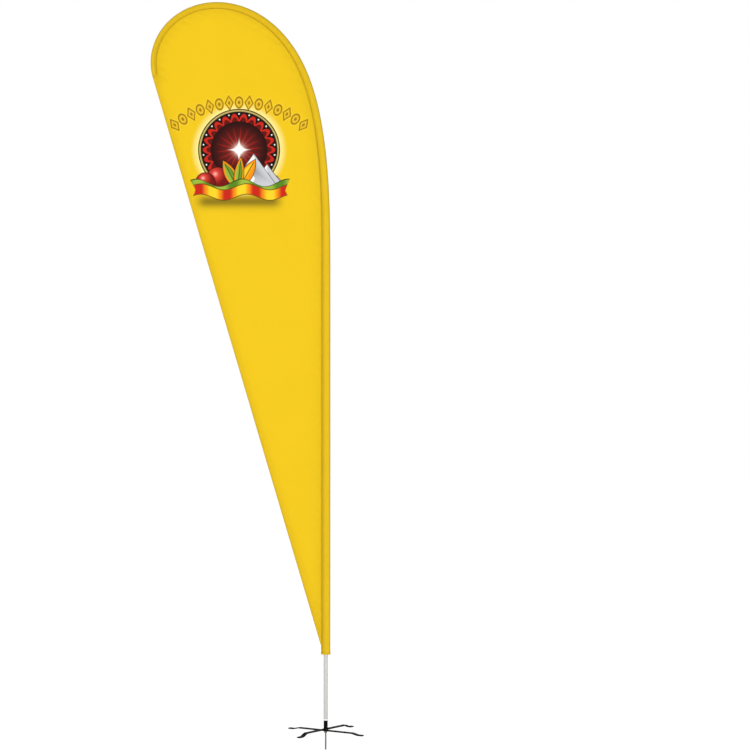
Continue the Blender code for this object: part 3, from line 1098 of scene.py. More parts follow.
    def hills(self, sketch: Sketch, a: Signal, b: Signal, under: object) -> object:
        """Two round red hills at the left, lighter towards the top.

        Args:
            sketch: the material being made.
            a: place across the disc, in its radii.
            b: place above its centre, in its radii.
            under: the colour below.

        Returns:
            The colour with the hills.
        """
        for middle, height, size in ((-0.52, -0.70, 0.29), (-0.82, -0.80, 0.25)):
            reach = distance(a - middle, b - height) / size
            light = distance(a - middle + 0.06, b - height - 0.11) / size
            body = sketch.paint(light.fall(0.10, 0.95), (0.16, 0.006, 0.006), (0.66, 0.045, 0.030))
            body = sketch.paint(light.near(0.16) * 0.6, body, (0.92, 0.62, 0.55))
            under = sketch.paint(reach.fall(0.98, 1.03), under, (0.05, 0.003, 0.003))
            under = sketch.paint(reach.fall(0.90, 0.95), under, body)
        return under

    def leaves(self, sketch: Sketch, a: Signal, b: Signal, under: object) -> object:
        """Three tall leaves that rise out of the ribbon.

        Along its own tilted axis a leaf is where |v|/width + (u/length)^2
        is under 1.

        Args:
            sketch: the material being made.
            a: place across the disc, in its radii.
            b: place above its centre, in its radii.
            under: the colour below.

        Returns:
            The colour with the leaves.
        """
        leaf_rows = (
            (0.19, -0.60, 60.0, 0.44, 0.155, self.orange, self.lemon),
            (-0.20, -0.62, 118.0, 0.42, 0.150, self.leaf_green, self.moss),
            (0.00, -0.62, 84.0, 0.46, 0.125, self.leaf_green, self.moss),
        )
        for x, y, tilt, long, wide, low, high in leaf_rows:
            c, s = math.cos(math.radians(tilt)), math.sin(math.radians(tilt))
            u = (a - x) * c + (b - y) * s
            v = (b - y) * c - (a - x) * s
            shape = v.size() / wide + (u / long) * (u / long)
            body = sketch.paint(v.rise(-0.6 * wide, 0.6 * wide), low, high)
            body = sketch.paint(v.size().fall(0.008, 0.016) * 0.8, body, (0.03, 0.05, 0.01))
            under = sketch.paint(shape.fall(0.98, 1.02), under, (0.03, 0.02, 0.004))
            under = sketch.paint(shape.fall(0.86, 0.92), under, self.orange)
            under = sketch.paint(shape.fall(0.62, 0.68), under, body)
        return under

    def ribbon(self, sketch: Sketch, a: Signal, b: Signal, under: object) -> object:
        """A waving ribbon: green on top, with a bright front edge.

        The green shows most where the wave falls away, so its depth follows
        the cosine of the same wave.

        Args:
            sketch: the material being made.
            a: place across the disc, in its radii.
            b: place above its centre, in its radii.
            under: the colour below.

        Returns:
            The colour with the ribbon.
        """
        wave = (a * 5.6 + 0.5).sine() * 0.075
        slope = (a * 5.6 + 2.07).sine()
        level = b + 1.03 - wave
        notch = level.size() * 0.45
        reach = ((a - 0.03).size() + notch * -1.0).fall(1.085, 1.100)
        top = (level - 0.125) / (slope * 0.055 + 0.105)
        green = sketch.paint((a * 11.0).sine().rise(-0.9, 0.9), self.leaf_green, self.moss)
        back = top.size().fall(0.98, 1.06) * reach
        under = sketch.paint(back, under, (0.020, 0.030, 0.004))
        under = sketch.paint(top.size().fall(0.84, 0.90) * reach, under, green)
        fire = sketch.paint((a * 9.0 + 1.0).sine().rise(-0.9, 0.1), self.red, self.orange)
        fire = sketch.paint((a * 9.0 + 1.0).sine().rise(0.0, 0.9), fire, self.lemon)
        front = level.size().fall(0.130, 0.142) * reach
        under = sketch.paint(front, under, (0.10, 0.045, 0.003))
        return sketch.paint(level.size().fall(0.112, 0.122) * reach, under, fire)


@dataclass(frozen=True)
class SailCloth:
    """Printed yellow polyester, one layer, with painted shade near the seam and the free edge."""

    emblem: Emblem
    colour: Colour = (0.760, 0.4955, 0.0094)
    knit: Knit = field(default_factory=Knit)
    edge_shade_amount: float = 0.5

    def make(self, name: str) -> bpy.types.Material:
        """Build the material.

        Args:
            name: the new material's name.

        Returns:
            The material.
        """
        sketch = Sketch(name)
        cloud = sketch.noise(4.0, 4.0)
        cloth = sketch.shade(self.colour, cloud.rise(0.35, 0.80), 0.015)
        printed = self.emblem.over(sketch, cloth)
        # painted shade near the seam and the free edge
        printed = sketch.shade(printed, sketch.mark("edge_shade"), self.edge_shade_amount)
        self.knit.finish(sketch, printed, cloud, 0.68, 0.0008)
        return sketch.material


# ---------------------------------------------------------------- placement


def place_piece(
    piece: bpy.types.Object,
    material: bpy.types.Material,
    body: Body,
    slot: Slot,
    *nodes: str,
) -> bpy.types.Object:
    """Dress a finished piece, let it ride on its body and log it.

    Args:
        piece: the finished object.
        material: what it is made of.
        body: the body it rides on.
        slot: not used.
        nodes: the frame's nodes that it stands for.

    Returns:
        The piece.
    """
    piece.data.materials.clear()
    piece.data.materials.append(material)
    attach(piece, body.value)
    if nodes:
        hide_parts(*nodes)
    LOG.info("%s rides on %s, %d points", piece.name, body.value, len(piece.data.vertices))
    return piece


def dress_node(node: str, material: bpy.types.Material) -> None:
    """Give one of the frame's own nodes its finish.

    Args:
        node: the node's name.
        material: its finish.
    """
    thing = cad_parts[node]
    thing.data.materials.clear()
    thing.data.materials.append(material)
    LOG.info("%s keeps its shape and gets %s", node, material.name)


def size_of(node: str) -> tuple[Vector, Vector]:
    """The lowest and highest corner of one of the frame's nodes."""
    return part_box(node)


def tube_profile(node: str, wall: float) -> list[tuple[float, float]]:
    """The outline of a plain tube as wide and as tall as a node.

    Args:
        node: the frame's node.
        wall: the tube's wall.

    Returns:
        Its four corners, down the outer side and up the bore.
    """
    low, high = size_of(node)
    outer, bore = high.x, high.x - wall
    return [(outer, high.z), (outer, low.z), (bore, low.z), (bore, high.z)]


# -------------------------------------------------------------- the pole's line


@dataclass(frozen=True)
class PoleLine:
    """The centre line of the pole, upright at first and then bent over.

    The curvature times the bend's length is given at the bend's start, its
    two thirds and its end, with straight lines between.
    """

    bend_start: float = 2.626
    bend_length: float = 2.354
    bend_shape: tuple[float, ...] = (0.0, 1.03, 5.01, 8.53)
    samples: int = 3001

    def tables(self) -> tuple[Array, Array, Array, Array]:
        """Lengths, headings and places along the bend.

        The heading is the running sum of the curvature, and the place is
        the running sum of (-sin, cos) of the heading.

        Returns:
            Lengths, headings, x and z.
        """
        length = np.linspace(0.0, self.bend_length, self.samples)
        thirds = np.linspace(0.0, self.bend_length, len(self.bend_shape))
        curvature = np.interp(length, thirds, self.bend_shape) / self.bend_length
        heading = self.running(curvature, length)
        x = self.running(-np.sin(heading), length)
        z = self.running(np.cos(heading), length) + self.bend_start
        return length, heading, x, z

    @staticmethod
    def running(values: Array, places: Array) -> Array:
        """The running integral of values over places, by trapeziums."""
        steps = (values[1:] + values[:-1]) / 2 * np.diff(places)
        return np.concatenate([[0.0], np.cumsum(steps)])

    def heading(self, length: Array) -> Array:
        """The lean of the line from upright, in radians, at each length."""
        known, heading, _, _ = self.tables()
        return np.interp(length, known, heading)

    def at(self, length: Array, out: Array | float = 0.0, deep: Array | float = 0.0) -> Array:
        """Places beside the line.

        Args:
            length: arc lengths past the bend's start, negative below it.
            out: distance outwards, away from the sail, in its plane.
            deep: distance square to the sail's plane.

        Returns:
            An array with a last axis of x, y and z.
        """
        known, _, x, z = self.tables()
        lean = self.heading(length)
        px = np.interp(length, known, x) + out * np.cos(lean)
        pz = np.interp(length, known, z) + np.minimum(length, 0.0) + out * np.sin(lean)
        return np.stack(np.broadcast_arrays(px, deep + 0.0 * px, pz), axis=-1)

    def length_at(self, height: float) -> float:
        """The arc length of a height on the upright part."""
        return height - self.bend_start


# ---------------------------------------------------------------- stitching


@dataclass(frozen=True)
class Stitcher:
    """Sews rows of separate short stitches along a line on the cloth."""

    pitch: float = 0.0042
    long: float = 0.0034
    thick: float = 0.00075

    def shape(self) -> tuple[Array, Array]:
        """One stitch: a spindle of two rings of four points and two ends.

        Returns:
            The stitch's points and its corner numbers.
        """
        turn = np.arange(4) * math.pi / 2
        ring = np.stack([0 * turn, np.cos(turn), np.sin(turn)], axis=1) * self.thick / 2
        shift = np.array([[self.long * 0.28, 0.0, 0.0]])
        tips = np.array([[-0.5, 0.0, 0.0], [0.5, 0.0, 0.0]]) * self.long
        points = np.concatenate([ring - shift, ring + shift, tips])
        i = np.arange(4)
        j = (i + 1) % 4
        sides = [
            np.stack([i, j, j + 4], axis=1),
            np.stack([i, j + 4, i + 4], axis=1),
            np.stack([j, i, np.full(4, 8)], axis=1),
            np.stack([i + 4, j + 4, np.full(4, 9)], axis=1),
        ]
        return points, np.concatenate(sides)

    def sew(self, name: str, rows: list[tuple[Array, Array]]) -> bpy.types.Object:
        """Sew several rows into one mesh.

        Each row is a line of places and the direction the cloth faces at
        each of them.  The line's length is cut into even pitches, and one
        stitch lies along the line at each.

        Args:
            name: the piece's name.
            rows: (places, facing) of shape (n, 3) each.

        Returns:
            The new object.
        """
        all_places, all_frames = [], []
        for line, facing in rows:
            step = np.linalg.norm(np.diff(line, axis=0), axis=1)
            run = np.concatenate([[0.0], np.cumsum(step)])
            count = max(2, int(run[-1] / self.pitch))
            where = (np.arange(count) + 0.5) * run[-1] / count
            place = np.stack([np.interp(where, run, line[:, k]) for k in range(3)], axis=1)
            up = np.stack([np.interp(where, run, facing[:, k]) for k in range(3)], axis=1)
            ahead = np.gradient(place, axis=0)
            ahead /= np.linalg.norm(ahead, axis=1, keepdims=True)
            side = np.cross(up, ahead)
            side /= np.linalg.norm(side, axis=1, keepdims=True)
            all_places.append(place)
            all_frames.append(np.stack([ahead, side, np.cross(ahead, side)], axis=2))
        points, faces = self.shape()
        frames = np.concatenate(all_frames)
        return repeat_shape(name, points, faces, frames, np.concatenate(all_places))


# ------------------------------------------------------------------ the base


@dataclass
class LegBar:
    """One flat bar of the cross: level over the hub, S-bent to two feet."""

    node: str
    body: Body
    heading: float
    width: float = 0.026
    thick: float = 0.006
    reach: float = 0.250
    foot: float = 0.034
    bend: float = 0.034
    bend_round: float = 0.007
    corner: float = 0.0012
    toe: float = 0.0040
    hole: float = 0.0053

    def centre_line(self) -> Array:
        """The middle of the bar's thickness, seen from the side.

        Half of the line has five points: the hub, the two bends' corners
        and the toe.  Each corner is rounded by a curve, and the other half
        mirrors it.

        Returns:
            Points of (along, height), from toe to toe.
        """
        low, high = size_of(self.node)
        rise = high.z - low.z - self.thick
        foot_start = self.reach - self.foot
        knee = foot_start - self.bend
        half = self.thick / 2
        corners = np.array([
            [0.0, rise + half],
            [knee, rise + half],
            [foot_start, half],
            [self.reach, half],
        ])
        line = self.round_corners(corners)
        left = line[::-1] * np.array([-1.0, 1.0])
        return np.concatenate([left[:-1], line])

    def round_corners(self, corners: Array) -> Array:
        """Replace the two inner corners by curves and space the rest out.

        Args:
            corners: the four corners of half the line.

        Returns:
            Points from the hub to the toe.
        """
        pieces = [self.spaced(corners[0], corners[1], 14)]
        for before, corner, after in zip(corners[:-2], corners[1:-1], corners[2:]):
            back = (before - corner) / np.linalg.norm(before - corner)
            ahead = (after - corner) / np.linalg.norm(after - corner)
            t = np.linspace(0.0, 1.0, 9)[:, None]
            start = corner + back * self.bend_round
            end = corner + ahead * self.bend_round
            pieces[-1] = self.clip(pieces[-1], start)
            pieces.append(bend(start, corner, end, t))
            pieces.append(self.spaced(end, after, 8)[1:])
        return np.concatenate(pieces)

    @staticmethod
    def spaced(start: Array, end: Array, count: int) -> Array:
        """Evenly spaced points from start to end, closer near the end.

        Args:
            start: the first point.
            end: the last point.
            count: how many steps.

        Returns:
            count + 1 points.
        """
        t = np.linspace(0.0, 1.0, count + 1)[:, None]
        t = 1 - (1 - t) ** 1.6
        return start * (1 - t) + end * t

    @staticmethod
    def clip(line: Array, end: Array) -> Array:
        """The part of a line that lies nearer the hub than a point."""
        return line[line[:, 0] < end[0] - 0.0005]

    def section(self, columns: int = 5) -> tuple[Array, Array, Array]:
        """The bar's rounded cross-section and how near each point is to an edge.

        Each of the four corners is a quarter circle of the corner radius.

        Args:
            columns: how many points each corner has.

        Returns:
            Places across, places up and the edge wear and painted highlight at each.
        """
        turn = np.linspace(0.0, math.pi / 2, columns)
        quarter = np.concatenate([turn + k * math.pi / 2 for k in range(4)])
        sign_x = np.repeat([1, -1, -1, 1], columns)
        sign_y = np.repeat([1, 1, -1, -1], columns)
        across = sign_x * (self.width / 2 - self.corner) + self.corner * np.cos(quarter)
        up = sign_y * (self.thick / 2 - self.corner) + self.corner * np.sin(quarter)
        return across, up, np.tile(np.sin(turn * 2), 4)

    def build(self, coat: bpy.types.Material) -> bpy.types.Object:
        """Sweep the section along the line, close the toes and make the hole.

        Args:
            coat: the powder coat.

        Returns:
            The painted bar.
        """
        line = self.centre_line()
        across, up, wear_and_highlight = self.section()
        run = np.gradient(line, axis=0)
        run /= np.linalg.norm(run, axis=1, keepdims=True)
        square = np.stack([-run[:, 1], run[:, 0]], axis=1)
        end_gap = self.reach - np.abs(line[:, 0])
        inset = np.maximum(self.toe - end_gap, 0.0)
        narrow = self.toe - np.sqrt(np.maximum(self.toe**2 - inset**2, 0.0))
        share = 1.0 - narrow[:, None] / (self.width / 2)
        along = line[:, :1] + square[:, :1] * up[None, :]
        height = line[:, 1:] + square[:, 1:] * up[None, :]
        wide = across[None, :] * share
        c, s = math.cos(self.heading), math.sin(self.heading)
        x = along * c - wide * s
        y = along * s + wide * c
        grid = np.stack([x, y, height], axis=-1)
        # this edge mark drives the coat's wear and painted highlight
        marks = {"edge_wear_and_highlight": np.broadcast_to(wear_and_highlight, x.shape)}
        bar = grid_object(self.node + "_painted", grid, wrap=True, cap=Cap.FLAT, marks=marks)
        bar.data.set_sharp_from_angle(angle=math.radians(50))
        self.pierce(bar)
        slot = Slot.BLACK_STEEL
        return place_piece(bar, coat, self.body, slot, self.node)

    def pierce(self, bar: bpy.types.Object) -> None:
        """Cut the pivot hole through the bar and keep the result.

        Args:
            bar: the swept bar.
        """
        low, high = size_of(self.node)
        edge = [
            (self.hole, high.z + self.thick),
            (self.hole, low.z - self.thick),
            (0.0, low.z - self.thick),
            (0.0, high.z + self.thick),
        ]
        cutter = lathe(self.node + "_drill", edge, edge=0.0, sides=40, steps=1)
        cut = bar.modifiers.new("hole", "BOOLEAN")
        cut.object = cutter
        cut.operation = "DIFFERENCE"
        bpy.context.view_layer.update()
        graph = bpy.context.evaluated_depsgraph_get()
        mesh = bpy.data.meshes.new_from_object(bar.evaluated_get(graph))
        bar.modifiers.clear()
        bar.data = mesh
        bpy.data.objects.remove(cutter, do_unlink=True)


@dataclass
class Hub:
    """What stands and hangs on the crossed bars: socket, weld, nut, spike."""

    socket_wall: float = 0.0016
    weld_thick: float = 0.0017
    weld_ripples: int = 34
    stud_radius: float = 0.005
    nut_wall: float = 0.0015
    spike_point: float = 0.007
    spike_tip: float = 0.0009
    gap: float = 0.0003

    def build_socket(self, coat: bpy.types.Material) -> None:
        """The socket tube with softened rims.

        Args:
            coat: the powder coat.
        """
        profile = tube_profile("socket_tube", self.socket_wall)
        tube = lathe("socket_painted", profile, edge=0.0006)
        place_piece(tube, coat, Body.BASE, Slot.BLACK_STEEL, "socket_tube")

    def build_weld(self, coat: bpy.types.Material) -> None:
        """The weld bead round the socket's foot.

        A ring whose small radius swells and shrinks with the sine of the
        turn times the number of ripples.

        Args:
            coat: the powder coat.
        """
        low, high = size_of("socket_tube")
        turn = np.linspace(0.0, 2 * math.pi, 240, endpoint=False)[None, :]
        small = np.linspace(0.0, 2 * math.pi, 13)[:, None]
        thick = self.weld_thick * (1 + 0.14 * np.sin(turn * self.weld_ripples))
        radius = high.x + self.gap + thick * np.cos(small) * 0.8
        height = low.z + self.gap + thick * np.sin(small)
        height = np.maximum(height, low.z)
        x, y = radius * np.cos(turn), radius * np.sin(turn)
        bead = grid_object("socket_weld", np.stack([x, y, height + 0 * x], axis=-1), wrap=True)
        face_outwards(bead)
        place_piece(bead, coat, Body.BASE, Slot.BLACK_STEEL)

    def build_nut(self, zinc: bpy.types.Material) -> None:
        """The conical nut: a short rim, a cone, and a stepped bore.

        Args:
            zinc: the zinc plate.
        """
        low, high = size_of("conical_nut")
        _, spike_high = size_of("ground_spike")
        tall = high.z - low.z
        bore = spike_high.x + self.gap
        step = spike_high.z
        wide = self.stud_radius + self.gap
        profile = [
            (high.x, high.z),
            (high.x, high.z - tall / 5),
            (bore + self.nut_wall, low.z),
            (bore, low.z),
            (bore, step),
            (wide, step),
            (wide, high.z),
        ]
        nut = lathe("conical_nut_turned", profile, edge=0.0007)
        place_piece(nut, zinc, Body.BASE, Slot.ZINC_STEEL, "conical_nut")

    def build_spike(self, zinc: bpy.types.Material) -> None:
        """The ground spike with its long point.

        Args:
            zinc: the zinc plate.
        """
        low, high = size_of("ground_spike")
        radius = high.x
        profile = [
            (radius, high.z),
            (radius, low.z + self.spike_point),
            (self.spike_tip, low.z),
            (0.0, low.z),
            (0.0, high.z),
        ]
        spike = lathe("ground_spike_turned", profile, edge=0.0010, sides=48)
        place_piece(spike, zinc, Body.BASE, Slot.ZINC_STEEL, "ground_spike")


@dataclass
class CrossBase:
    """The folding cross base: two bars and the hub."""

    upper_heading: float = math.radians(-126.0)
    lower_heading: float = math.radians(-33.0)
    hub: Hub = field(default_factory=Hub)

    def build(self) -> None:
        """Build the base piece by piece and dress its hidden parts."""
        coat = PowderCoat().make("black_powder_coat")
        zinc = ZincPlate().make("dull_zinc_plate")
        LegBar("upper_leg_bar", Body.BASE, self.upper_heading).build(coat)
        LegBar("lower_leg_bar", Body.LOWER_BAR, self.lower_heading).build(coat)
        self.hub.build_socket(coat)
        self.hub.build_weld(coat)
        self.hub.build_nut(zinc)
        self.hub.build_spike(zinc)
        dress_node("pivot_stud", zinc)
        dress_node("spring_washer", zinc)
        nylon = MouldedNylon().make("washer_nylon")
        dress_node("pivot_washer", nylon)
        dress_node("thrust_washer", nylon)


# ------------------------------------------------------------------ the pole


@dataclass
class Swivel:
    """The flanged nylon bush that turns in the socket."""

    bush_radius: float = 0.0095
    wall: float = 0.0014
    flange_height: float = 0.0086

    def build(self) -> None:
        """Turn the bush from its flange down to its foot."""
        low, high = size_of("flanged_bush")
        shoulder = high.z - self.flange_height
        bore = self.bush_radius - self.wall
        profile = [
            (high.x, high.z),
            (high.x, shoulder),
            (self.bush_radius, shoulder),
            (self.bush_radius, low.z),
            (bore, low.z),
            (bore, high.z),
        ]
        bush = lathe("flanged_bush_moulded", profile, edge=0.0010)
        nylon = MouldedNylon().make("bush_nylon")
        place_piece(bush, nylon, Body.SWIVEL, Slot.NYLON, "flanged_bush")


@dataclass
class Pole:
    """The sectional pole: tubes below, bent rods above, all on one line."""

    line: PoleLine
    tube_wall: float = 0.0020
    bush_bore: float = 0.0081
    gap: float = 0.0003

    def build(self) -> None:
        """Build every section and dress what hides inside the sleeve."""
        metal = AnodisedTube().make("anodised_tube")
        zinc = ZincPlate(darkening_top=-1.0, darkening_bottom=-2.0).make("spigot_zinc")
        glass = DrawnRod().make("fibreglass")
        self.build_lower_tube(metal)
        self.build_spigot(zinc)
        for node in ("middle_pole_tube", "lower_stop_collar", "upper_stop_collar"):
            dress_node(node, metal)
        dress_node("tip_ferrule", metal)
        dress_node("bent_pole_rod", glass)
        dress_node("tip_rod", glass)
        rubber = DrawnRod(colour=(0.02, 0.02, 0.02), roughness=0.62, fibre=0.00001)
        dress_node("tip_cap", rubber.make("cap_rubber"))
        dress_node("tension_peg", zinc)
        dress_node("tension_loop", Webbing().make("black_webbing"))

    def build_lower_tube(self, metal: bpy.types.Material) -> None:
        """The visible aluminium tube with softened ends.

        Args:
            metal: the aluminium.
        """
        profile = tube_profile("lower_pole_tube", self.tube_wall)
        tube = lathe("lower_pole_tube_drawn", profile, edge=0.0005, sides=80)
        place_piece(tube, metal, Body.FLAG, Slot.ALUMINIUM, "lower_pole_tube")

    def build_spigot(self, zinc: bpy.types.Material) -> None:
        """The spigot: a plug in the tube and a pin for the bush.

        Args:
            zinc: the zinc plate.
        """
        low, high = size_of("pole_spigot")
        shoulder = size_of("lower_pole_tube")[0].z
        pin = self.bush_bore - self.gap
        profile = [
            (high.x, high.z),
            (high.x, shoulder),
            (pin, shoulder),
            (pin, low.z),
            (0.0, low.z),
            (0.0, high.z),
        ]
        spigot = lathe("pole_spigot_turned", profile, edge=0.0012)
        place_piece(spigot, zinc, Body.FLAG, Slot.ZINC_STEEL, "pole_spigot")


# ------------------------------------------------------------------ the sail


@dataclass
class SailShape:
    """The sail's outline: the seam along the sleeve and the free edge."""

    line: PoleLine
    edge_foot_height: float = 0.485
    low_half_width: float = 0.026
    end_half_width: float = 0.016
    low_tab: float = 0.0082
    end_tab: float = 0.0020
    flatten: float = 0.58
    end_slant: float = 0.009
    billow: float = 0.010
    ripple: float = 0.0011
    pull_reach: float = 0.014
    seam_samples: int = 900
    seam_below: float = 0.03

    def taper(self, length: Array) -> Array:
        """0 below the bend, growing evenly to 1 at the pole's end."""
        return np.clip(np.asarray(length) / self.line.bend_length, 0.0, 1.0)

    def half_width(self, length: Array) -> Array:
        """Half the sleeve's width: even below, narrowing along the bend."""
        narrowing = self.end_half_width - self.low_half_width
        return self.low_half_width + narrowing * self.taper(length)

    def tab(self, length: Array) -> Array:
        """Width of the flat strip between the seam line and the sleeve's edge."""
        return self.low_tab + (self.end_tab - self.low_tab) * self.taper(length)

    def corners(self) -> tuple[Array, Array]:
        """The free edge's foot, on the seam, and its head, at the tip.

        Returns:
            The foot and the head.
        """
        foot_length = np.array(self.line.length_at(self.edge_foot_height))
        foot = self.line.at(foot_length, -self.half_width(foot_length))
        end = np.array(self.line.bend_length)
        head = self.line.at(end, self.half_width(end))
        return foot, head

    def edge_frame(self) -> tuple[Array, Array, Array, float]:
        """The free edge's foot, its direction, the way inwards and its length.

        Returns:
            Foot, direction, way inwards and length.
        """
        foot, head = self.corners()
        long = float(np.linalg.norm(head - foot))
        run = (head - foot) / long
        return foot, run, np.array([run[2], 0.0, -run[0]]), long

    def from_edge(self, points: Array) -> Array:
        """Distance of points inside the free edge."""
        foot, _, inward, _ = self.edge_frame()
        return (points - foot) @ inward

    def from_seam(self, points: Array) -> Array:
        """Distance of points from the seam line, the nearest of its samples.

        Args:
            points: places, with a last axis of three.

        Returns:
            One distance for each.
        """
        start = self.line.length_at(self.edge_foot_height - self.seam_below)
        length = np.linspace(start, self.line.bend_length, self.seam_samples)
        seam = self.line.at(length, self.tab(length) - self.half_width(length))[:, ::2]
        flat = points.reshape(-1, 3)[:, ::2]
        nearest = np.full(len(flat), np.inf)
        for part in np.array_split(seam, 12):
            gap = np.linalg.norm(flat[:, None] - part[None], axis=2)
            nearest = np.minimum(nearest, gap.min(axis=1))
        return nearest.reshape(points.shape[:-1])

    def sway(self, points: Array) -> Array:
        """How far the cloth stands off its plane at each point.

        The belly is a half sine of the share of the way from the free edge
        to the seam, times a half sine of the height.  Small puckers start
        at the seam line, where the thread pulls: they grow and die out as
        d/r times e^(1-d/r) for a distance d past the sewn strip.

        Args:
            points: places, with a last axis of three.

        Returns:
            One offset along Y for each.
        """
        foot, run, _, long = self.edge_frame()
        up = np.clip((points - foot) @ run / long, 0.0, 1.0)
        edge = np.maximum(self.from_edge(points), 0.0)
        seam = np.maximum(self.from_seam(points) - self.low_tab - 0.001, 0.0)
        share = edge / (edge + seam + 0.001)
        belly = np.sin(np.pi * share) * np.sin(np.pi * up) ** 1.2
        flute = np.sin(share * 9.0 + up * 5.0) * belly
        x, z = points[..., 0], points[..., 2]
        fine = np.sin(z * 118.0 + x * 61.0) + 0.6 * np.sin(z * 71.0 - x * 93.0 + 1.3)
        near = seam / self.pull_reach
        pucker = self.ripple * near * np.exp(1.0 - near) * fine * np.clip(edge / 0.05, 0.0, 1.0)
        slow = 0.8 * self.ripple * bell(edge, 0.05) * np.sin(up * 47.0 + 0.7)
        ends = np.sin(np.pi * up) * np.clip(seam / 0.05, 0.0, 1.0)
        return -self.billow * belly - 0.0022 * flute + pucker + slow * ends


@dataclass
class SailPanel:
    """The printed cloth between the seam and the free edge."""

    shape: SailShape
    rows: int = 330
    columns: int = 104
    crowding: float = 1.6
    thick: float = 0.0004
    seam_tuck: float = 0.002

    def edges(self, up: Array) -> tuple[Array, Array]:
        """Matching points on the seam and on the free edge, for shares up.

        Args:
            up: shares of the way up, from 0 to 1.

        Returns:
            Places on the seam and on the edge.
        """
        line, shape = self.shape.line, self.shape
        foot, head = shape.corners()
        start = line.length_at(shape.edge_foot_height)
        length = start + (line.bend_length - shape.end_slant - start) * up
        seam = line.at(length, self.seam_tuck - shape.half_width(length))
        return seam, foot + (head - foot) * up[:, None]

    def build(self, emblem: Emblem) -> bpy.types.Object:
        """Rule the cloth from the free edge to the seam.

        A row's place is edge * (1 - across) + seam * across, where the edge
        point runs evenly up the free edge while the seam point runs evenly
        along the seam; the sway is added square to the plane.  The columns
        crowd towards the seam as a power of their number.

        Args:
            emblem: the print.

        Returns:
            The panel.
        """
        seam, edge = self.edges(np.linspace(0.0, 1.0, self.rows))
        across = 1.0 - np.linspace(1.0, 0.0, self.columns)[None, :, None] ** self.crowding
        grid = edge[:, None, :] * (1 - across) + seam[:, None, :] * across
        grid[..., 1] += self.shape.sway(grid)
        from_seam = self.shape.from_seam(grid)
        from_edge = np.maximum(self.shape.from_edge(grid), 0.0)
        # painted shade: wide soft bands by the seam and by the free edge, a narrow one at the seam
        edge_shade = 0.16 * bell(from_seam, 0.045)
        edge_shade += 0.04 * bell(from_seam, 0.007)
        edge_shade += 0.20 * bell(from_edge, 0.035)
        uv = np.stack([grid[..., 0], grid[..., 2]], axis=-1)
        marks = {"edge_shade": np.clip(edge_shade, 0.0, 1.0)}
        panel = grid_object("sail_cloth", grid, uv=uv, marks=marks, sharp=180.0)
        add_thickness(panel, self.thick, 0.0)
        cloth = SailCloth(emblem).make("printed_polyester")
        return place_piece(panel, cloth, Body.FLAG, Slot.SAIL, "sail_panel")

    def flat_area(self) -> float:
        """The cut's flat area, from the corners of its whole outline.

        Twice the area is the sum of x1 * z2 - x2 * z1 round the outline.

        Returns:
            The area in square metres.
        """
        seam, edge = self.edges(np.linspace(0.0, 1.0, 400))
        ring = np.concatenate([seam, edge[::-1]])
        x, z = ring[:, 0], ring[:, 2]
        twice = np.sum(x * np.roll(z, -1) - z * np.roll(x, -1))
        return abs(float(twice)) / 2


@dataclass
class EdgeHem:
    """The folded hem on the free edge, over both faces of the cloth."""

    shape: SailShape
    width: float = 0.012
    half_thick: float = 0.0008
    proud: float = 0.0006
    rows: int = 420

    def places(self, up: Array, inset: Array | float) -> Array:
        """Places on the swaying cloth, a distance inside the free edge.

        Args:
            up: shares of the way up the edge.
            inset: how far inside the edge.

        Returns:
            The places, with a last axis of three.
        """
        foot, run, inward, long = self.shape.edge_frame()
        spread, inset = np.broadcast_arrays(up, inset)
        points = foot + run * (spread * long)[..., None] + inward * inset[..., None]
        points[..., 1] += self.shape.sway(points)
        return points

    def build(self, cloth: bpy.types.Material) -> bpy.types.Object:
        """Sweep a thin rounded strip along the edge.

        The section is x = half-width (1 - cos a), y = half-thickness times
        the signed square root of |sin a|, which is nearly a flat box.  The
        strip starts narrow at the foot and reaches its width 30 mm up.

        Args:
            cloth: the cloth's material.

        Returns:
            The hem.
        """
        up = np.linspace(0.002, 0.9985, self.rows)[:, None]
        turn = np.linspace(0.0, 2 * math.pi, 16, endpoint=False)[None, :]
        narrow = np.clip(up / 0.009, 0.15, 1.0)
        inset = self.width / 2 * (1 - np.cos(turn)) * narrow - self.proud
        deep = self.half_thick * np.sign(np.sin(turn)) * np.sqrt(np.abs(np.sin(turn)))
        grid = self.places(up, inset)
        grid[..., 1] += deep
        around = np.linspace(0.0, 2 * self.width, 17)[None, :]
        uv = np.stack(np.broadcast_arrays(around, up * 3.3), axis=-1)
        # painted shade: faint over the whole hem, deepest along its outer fold
        fold_shade = 0.10 + 0.55 * bell(inset + self.proud, 0.0045)
        marks = {"fold_shade": fold_shade, "crown_shade": 0 * fold_shade}
        hem = grid_object("free_edge_fold", grid, uv=uv, wrap=True, cap=Cap.FLAT, marks=marks)
        return place_piece(hem, cloth, Body.FLAG, Slot.SAIL, "free_edge_hem")

    def rows_of_stitches(self) -> list[tuple[Array, Array]]:
        """One row on each face, just inside the fold's inner edge.

        Returns:
            Places and facing for each row.
        """
        up = np.linspace(0.012, 0.994, 400)
        found = []
        for face in Face:
            line = self.places(up, self.width - 0.0025)
            line[:, 1] += face.value * (self.half_thick + 0.0001)
            found.append((line, face.facing(line)))
        return found


